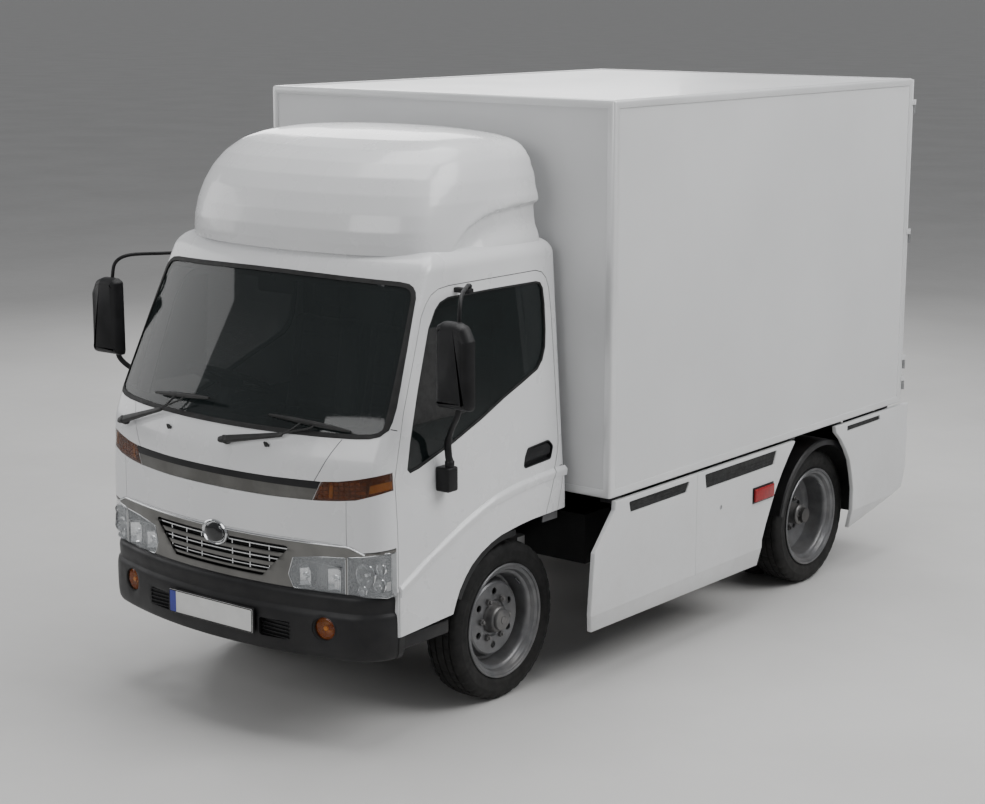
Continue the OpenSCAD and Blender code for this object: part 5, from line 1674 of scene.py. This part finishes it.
# dashboard
dm = prism_yz(rounded_poly([(-811, 1060), (-811, 1236), (-720, 1246), (-676, 1234), (-657, 1205), (-660, 1130), (-690, 1066)], [4, 4, 40, 30, 16, 20, 14], 6), -748, 748)
ds = prism_yz(rounded_poly([(-934, 1152), (-934, 1212), (-905, 1233), (-806, 1236), (-806, 1152)], [6, 20, 24, 2, 2], 5), -548, 548)
cut(dm, ds, "UNION")
cut(dm, box(-436, -324, -735, -600, 1040, 1300, 10, 3))
for x0, x1 in ((-96, 96), (240, 610)):
    cut(dm, prism_xz(rounded_poly([(x0, 1092), (x1, 1092), (x1, 1176), (x0, 1176)], 10, 4), -668, -600))
for x0, x1 in ((-735, -640), (-92, -8), (8, 92), (640, 735)):
    cut(dm, prism_xz(rounded_poly([(x0, 1184), (x1, 1184), (x1, 1222), (x0, 1222)], 8, 4), -676, -600))
bevel(dm, 2.5, 2, 45)
fin(dm, "cab", "dash_plastic", ["dashboard"], name="dash_moulding", angle=35)
ex = []
gb = prism_xz(rounded_poly([(244, 1096), (606, 1096), (606, 1172), (244, 1172)], 8, 4), -667, -654)
bevel(gb, 3, 3, 45)
ex += [gb, box(400, 450, -656, -650, 1156, 1166, 2.5, 2)]
ra = prism_xz(rounded_poly([(-92, 1096), (92, 1096), (92, 1172), (-92, 1172)], 6, 4), -667, -656)
bevel(ra, 2, 2, 45)
ex.append(ra)
for x in (-74, 74):
    ex.append(revolve([(0, 13), (-14, 12), (-16, 10), (-16, 0)], (x, -656, 1146), "y", 24, "knob"))
for k in range(5):
    ex.append(box(-52 + k * 22, -35 + k * 22, -660, -653, 1104, 1118, 2, 2))
ex.append(box(-50, 50, -658, -654.5, 1130, 1160, 2, 2))
for x0, x1 in ((-735, -640), (-92, -8), (8, 92), (640, 735)):
    for k in range(4):
        ex.append(box(x0 + 3, x1 - 3, -674, -662, 1188 + k * 9, 1190.5 + k * 9, 0.8, 1))
    ex.append(box((x0 + x1) / 2 - 1.5, (x0 + x1) / 2 + 1.5, -672, -661, 1185, 1221, 0.8, 1))
bn = prism_yz(rounded_poly([(-800, 1225), (-800, 1272), (-770, 1296), (-712, 1300), (-700, 1292), (-706, 1225)], [4, 20, 18, 8, 6, 3], 5), -545, -215)
bevel(bn, 9, 4, 50)
ex.append(bn)
fin(join(ex, "dash_fittings"), "cab", "dash_plastic", angle=35)
dl = []
for x, r in ((-440, 34), (-352, 34), (-270, 20)):
    dl.append(revolve([(0, r + 4), (-5, r + 3), (-5, r), (1, r - 1)], (x, -701, 1262), "y", 40, "bez"))
    for k in range(11):
        a = math.radians(-40 + 26 * k)
        q = box(-1.0, 1.0, -703.5, -702, r - 8, r - 3, 0)
        for v in q.data.vertices:
            px_, pz_ = v.co.x, v.co.z
            v.co.x = px_ * math.cos(a) + pz_ * math.sin(a) + x / 1000
            v.co.z = -px_ * math.sin(a) + pz_ * math.cos(a) + 1.262
        dl.append(q)
    dl.append(tube([(x, -703.5, 1262), (x - r * 0.5, -703.5, 1262 + r * 0.4)], 1.1, 6, "needle"))
fin(join(dl, "dial_rings"), "cab", "plate_white", angle=35)
fin(join([revolve([(-1, 0), (-1, r), (3, r)], (x, -702, 1262), "y", 40, "df") for x, r in ((-440, 34), (-352, 34), (-270, 20))], "dial_faces"), "cab", "dial_face", angle=35)
# column shroud and stalks
sh = tube([(-380, -668, 1178), (-380, -652, 1213), (-380, -620, 1282), (-380, -592, 1343), (-380, -583, 1362)], [40, 46, 48, 46, 38], 28, "shroud")
st1 = tube(catmull([(-420, -598, 1338), (-470, -596, 1352), (-520, -594, 1362), (-548, -592, 1366)], 4), [6] * 12 + [7.5], 10, "stalk")
st2 = tube(catmull([(-340, -598, 1338), (-290, -596, 1352), (-240, -594, 1362), (-212, -592, 1366)], 4), [6] * 12 + [7.5], 10, "stalk")
fin(join([sh, st1, st2], "column_shroud"), "cab", "dash_plastic", angle=40)
# steering wheel
ca, sa = math.cos(math.radians(-24.7)), math.sin(math.radians(-24.7))


def wheel_space(o):
    for v in o.data.vertices:
        x, y, z = v.co.x * 1000, v.co.y * 1000 - OY, v.co.z * 1000
        y, z = y * ca - z * sa, y * sa + z * ca
        v.co = T((x - 380, y - 549, z + 1436))
    return o


n = 96
rimw = tube([(195 * math.cos(2 * math.pi * k / n), 195 * math.sin(2 * math.pi * k / n), 0) for k in range(n)], [14.0 + 0.9 * math.cos(2 * math.pi * k / n * 16) for k in range(n)], 16, "swr", closed=True)
sp = [rimw]
for a in (30, 150, 270):
    t = math.radians(a)
    d = (math.cos(t), math.sin(t))
    pth = catmull([(d[0] * r, d[1] * r, z) for r, z in ((30, -24), (70, -20), (120, -11), (160, -4), (192, 0))], 5)
    q = tube(pth, [15 - 7.5 * k / (len(pth) - 1) for k in range(len(pth))], 12, "spoke")
    for v in q.data.vertices:
        v.co.z = -0.012 + (v.co.z + 0.012) * 0.62
    sp.append(q)
sp.append(revolve([(-46, 0), (-46, 36), (-30, 46), (-10, 58), (-2, 60), (6, 56), (11, 44), (13, 24), (13, 0)], (0, 0, 0), "z", 48, "hub"))
sp.append(revolve([(12, 0), (12, 22), (15, 24), (17, 20), (18, 0)], (0, 0, 0), "z", 36, "pad"))
fin(wheel_space(join(sp, "steering_wheel_rim")), "steering", "black_plastic", ["steering_wheel"], angle=40)
# interior mirror and visors
ym = front_y(11, 1922) + 74
mh = prism_xz(rounded_poly([(-100, 1884), (122, 1884), (122, 1958), (-100, 1958)], 20, 5), ym - 12, ym + 10)
bevel(mh, 7, 4, 50)
fin(join([mh, tube([(11, ym - 8, 1935), (11, ym - 30, 1950), (11, ym - 40, 1972)], [8, 7, 9], 12, "stalk")], "cabin_mirror"), "cab", "mirror_black", angle=40)
fin(prism_xz(rounded_poly([(-94, 1890), (116, 1890), (116, 1952), (-94, 1952)], 16, 5), ym + 9.5, ym + 11), "cab", "mirror_glass", name="cabin_mirror_face")
vs = []
for s in (-1, 1):
    x0, x1 = (150, 610) if s > 0 else (-610, -140)
    q = prism_yz(rounded_poly([(-600, 1956), (-500, 1990), (-494, 2002), (-500, 2008), (-604, 1972), (-608, 1962)], 5, 3), x0, x1)
    bevel(q, 4, 3, 50)
    vs.append(q)
fin(join(vs, "sun_visors"), "cab", "liner", angle=40)


# ---------------------------------------------------------------- seats: padded by cloth simulation, seams pressed in after
def settle(o, cap_mm=22.0, voxel=8.0, pressure=4.0):
    m = o.modifiers.new("rm", "REMESH")
    m.mode = "VOXEL"
    m.voxel_size = voxel / 1000.0
    o = applied(o)
    me = o.data
    n_ = len(me.vertices)
    co0 = np.empty(n_ * 3, "f")
    me.vertices.foreach_get("co", co0)
    c = o.modifiers.new("cl", "CLOTH")
    c.settings.quality = 2
    c.settings.mass = 0.3
    c.settings.tension_stiffness = 18
    c.settings.compression_stiffness = 18
    c.settings.shear_stiffness = 8
    c.settings.bending_stiffness = 0.6
    c.settings.use_pressure = True
    c.settings.uniform_pressure_force = pressure
    c.settings.effector_weights.gravity = 0
    c.collision_settings.use_collision = False
    c.collision_settings.use_self_collision = False
    c.point_cache.frame_start = 1
    c.point_cache.frame_end = 20
    sc = bpy.context.scene
    for k in range(1, 21):
        sc.frame_set(k)
    dg = bpy.context.evaluated_depsgraph_get()
    ev = o.evaluated_get(dg)
    m2 = ev.to_mesh()
    co1 = np.empty(n_ * 3, "f")
    m2.vertices.foreach_get("co", co1)
    ev.to_mesh_clear()
    o.modifiers.clear()
    sc.frame_set(1)
    d = (co1 - co0).reshape(-1, 3)
    ln_ = np.linalg.norm(d, axis=1, keepdims=True) + 1e-9
    d *= np.minimum(1.0, cap_mm / 1000.0 / ln_)
    me.vertices.foreach_set("co", (co0.reshape(-1, 3) + d).ravel())
    me.update()
    return o


def press(o, fn):
    """push points in along their normals by fn(x, y, z) mm, in truck mm"""
    me = o.data
    n_ = len(me.vertices)
    co = np.empty(n_ * 3, "f")
    nn = np.empty(n_ * 3, "f")
    me.vertices.foreach_get("co", co)
    me.vertices.foreach_get("normal", nn)
    co, nn = co.reshape(-1, 3), nn.reshape(-1, 3)
    dd = np.array([fn(c[0] * 1000, c[1] * 1000 - OY, c[2] * 1000, Vector(k)) for c, k in zip(co.tolist(), nn.tolist())])
    co = co - nn * (dd / 1000.0)[:, None]
    me.vertices.foreach_set("co", co.astype("f").ravel())
    me.update()
    return o


def welt(t, w=6.0):
    return math.exp(-(t / w) ** 2)


def base_shapes():
    """one cushion, backrest and headrest are simulated, then fitted to each seat's width"""
    q = box(-226, 226, -346, 82, 1062, 1138, 26, 4, "cushion")
    for v in q.data.vertices:
        y = v.co.y * 1000 - OY
        v.co.z += (-0.012 * (y + 130) / 200.0 * 0.5)
    q = settle(q, 16.0)
    b = box(-226, 226, 118, 196, 1150, 1628, 26, 4, "back")
    for v in b.data.vertices:
        z = v.co.z * 1000
        y = v.co.y * 1000 - OY
        if y < 157:
            y -= 6.0 * math.cos((z - 1390) / 240.0 * 1.5)
        k = 1.0 - 0.10 * max(0.0, (z - 1480) / 150.0)
        v.co.x = v.co.x * k
        v.co.y = (y + (z - 1150) * 0.165 + OY) / 1000.0
    b = settle(b, 16.0)
    h = box(-112, 112, 224, 270, 1672, 1790, 18, 4, "head")
    h = settle(h, 9.0, 7.0)
    return q, b, h


BASE = base_shapes()


def fitted(src, xc, k, name):
    o = obj_from(name, [], [])
    o.data = src.data.copy()
    for v in o.data.vertices:
        v.co.x = xc / 1000.0 + v.co.x * k
    return subsurf(o, 1)


def seat(x0, x1, body, node, tag):
    xc, hw = (x0 + x1) / 2.0, (x1 - x0) / 2.0
    q = fitted(BASE[0], xc, (hw - 14) / 226.0, "cushion")

    def f1(x, y, z, nn):
        if nn.z < 0.25:
            return 0.0
        e = abs(x - xc)
        d = 7.0 * welt(e - hw * 0.55)
        if e < hw * 0.55:
            for yy in (-230, -130, -30):
                d += 5.0 * welt(y - yy)
        return d
    press(q, f1)
    q.name = "seat_cushion_" + tag
    # backrest, leaning back
    b = fitted(BASE[1], xc, (hw - 14) / 226.0, "back")

    def f2(x, y, z, nn):
        if nn.y > -0.25:
            return 0.0
        e = abs(x - xc)
        d = 7.0 * welt(e - hw * 0.52) if z < 1600 else 0.0
        if e < hw * 0.52:
            for zz in (1240, 1340, 1440, 1540):
                d += 5.0 * welt(z - zz)
        return d
    press(b, f2)
    b.name = "seat_back_" + tag
    h = fitted(BASE[2], xc, 1.0, "head")

    def f3(x, y, z, nn):
        return 3.5 * welt(abs(x - xc) - 78, 5.0) if abs(nn.y) > 0.3 else 0.0
    press(h, f3)
    h.name = "headrest_" + tag
    for i, p in enumerate((q, b, h)):
        p.data.name = p.name
        fin(p, body, "seat_fabric", [node] if i == 0 else [], angle=80)
    fr_ = [box(x0 + 22, x1 - 22, -330, 70, 1030, 1056, 8, 3), prism_yz(rounded_poly([(96, 1046), (150, 1046), (214, 1110), (222, 1180), (196, 1180), (180, 1120), (110, 1070)], 8, 3), x0 + 6, x0 + 14), prism_yz(rounded_poly([(96, 1046), (150, 1046), (214, 1110), (222, 1180), (196, 1180), (180, 1120), (110, 1070)], 8, 3), x1 - 14, x1 - 6)]
    for s in (-1, 1):
        fr_.append(tube([(xc + s * 60, 232, 1600), (xc + s * 60, 244, 1700)], 6, 12, "post"))
    fr_.append(revolve([(0, 0), (0, 24), (-8, 26), (-10, 22), (-10, 0)], (x0 + 8, 150, 1082), "x", 28, "knob"))
    return fr_


fd_ = seat(-720, -240, "driver_seat", "seat_driver", "driver")
fin(join(fd_, "seat_frame_driver"), "driver_seat", "frame_paint", angle=40)
fd_ = seat(-220, 200, "cab", "seat_passenger", "middle")
for x in (-180, 150):
    fd_.append(box(x, x + 30, -300, 160, 1012, 1034, 3, 2))
fin(join(fd_, "seat_frame_middle"), "cab", "frame_paint", angle=40)
fd_ = seat(220, 720, "cab", "seat_passenger", "left")
for x in (260, 650):
    fd_.append(box(x, x + 30, -300, 160, 1012, 1034, 3, 2))
fin(join(fd_, "seat_frame_left"), "cab", "frame_paint", angle=40)
rl = []
for x in (-690, -300):
    rl.append(box(x, x + 30, -352, 300, 1010, 1024, 3, 2))
fin(join(rl, "seat_rails"), "cab", "steel", angle=40)
drop(*BASE)

NODE_MAT = {"steering_column": "dash_plastic", "accelerator_pedal": "rubber", "brake_pedal": "rubber", "gear_lever": "black_plastic", "parking_brake_lever": "black_plastic", "engine_gearbox": "cast_metal", "fuel_tank": "frame_paint", "exhaust": "exhaust_steel", "knuckle_left": "cast_metal", "knuckle_right": "cast_metal", "prop_shaft": "steel", "battery_box": "black_plastic"}
M["exhaust_steel"] = simple("exhaust_steel", (0.16, 0.13, 0.11), (0.28, 0.25, 0.22), (0.4, 0.65), metal=0.8, scale=9, bumps=((200, 0.2, 0.001),))

# ---------------------------------------------------------------- stage
def make_stage():
    fl = obj_from("floor", [(-900, -900, 0), (900, -900, 0), (900, 900, 0), (-900, 900, 0)], [(0, 1, 2, 3)], raw=True)
    m, nt, b = new_mat("floor_paint")
    nt.links.new(ramp(nt, noise(nt, 0.7, 4), (0.52, 0.515, 0.505), (0.56, 0.555, 0.545)), b.inputs["Base Color"])
    nt.links.new(maprange(nt, noise(nt, 6, 4), 0.55, 0.7), b.inputs["Roughness"])
    bump(nt, b, noise(nt, 90, 3), 0.05, 0.002)
    fl.data.materials.append(m)


make_stage()
drop(S0)


def area(name, loc, to, size, power, size_y=None, color=(1, 1, 1)):
    d = bpy.data.lights.new(name, "AREA")
    d.energy = power
    d.size = size
    d.color = color
    if size_y:
        d.shape = "RECTANGLE"
        d.size_y = size_y
    o = bpy.data.objects.new(name, d)
    o.location = loc
    v = Vector(to) - Vector(loc)
    o.rotation_euler = v.to_track_quat("-Z", "Y").to_euler()
    bpy.context.scene.collection.objects.link(o)
    return o


area("key", (6.5, 1.5, 7.0), (0, 0.3, 1.2), 6.0, 560, 5.0)
area("front", (0.5, -9.0, 4.5), (0, -1.5, 1.2), 5.0, 170, 3.0)
area("top", (0, 0.5, 9.0), (0, 0.5, 0), 7.0, 640, 8.0)
area("back", (-6.0, 6.5, 5.0), (0, 0.5, 1.2), 5.0, 260, 4.0)
area("fill", (-8.0, -3.5, 3.5), (0, -0.5, 1.2), 5.0, 120, 4.0)
w = bpy.data.worlds.new("studio")
bpy.context.scene.world = w
w.use_nodes = True
w.node_tree.nodes["Background"].inputs[0].default_value = (0.84, 0.85, 0.87, 1)
w.node_tree.nodes["Background"].inputs[1].default_value = 0.36

cd = bpy.data.cameras.new("cam")
cd.sensor_width = 36
cd.lens = 74.45
cd.clip_end = 4000
cam = bpy.data.objects.new("cam", cd)
bpy.context.scene.collection.objects.link(cam)
az, el = math.radians(38.1), math.radians(11.5)
backv = Vector((math.sin(az) * math.cos(el), -math.cos(az) * math.cos(el), math.sin(el)))
rightv = Vector((math.cos(az), math.sin(az), 0))
upv = backv.cross(rightv)
roll = math.radians(0.1)
r2 = rightv * math.cos(roll) + upv * math.sin(roll)
u2 = upv * math.cos(roll) - rightv * math.sin(roll)
mt = Matrix((r2, u2, backv)).transposed().to_4x4()
mt.translation = Vector((6.2553, -8.2395, 3.2046))
cam.matrix_world = mt
bpy.context.scene.camera = cam

assign = {}
for name, o in N.items():
    slotname = None
    for sp in frame["record"]["subparts"]:
        if sp["node"] == name:
            slotname = sp.get("material_slot")
    assign[name] = slotname
    key = NODE_MAT.get(name) or slotname or "frame_paint"
    for i in range(max(1, len(o.data.materials))):
        if i < len(o.data.materials):
            o.data.materials[i] = M.get(key, M["frame_paint"])
        else:
            o.data.materials.append(M.get(key, M["frame_paint"]))
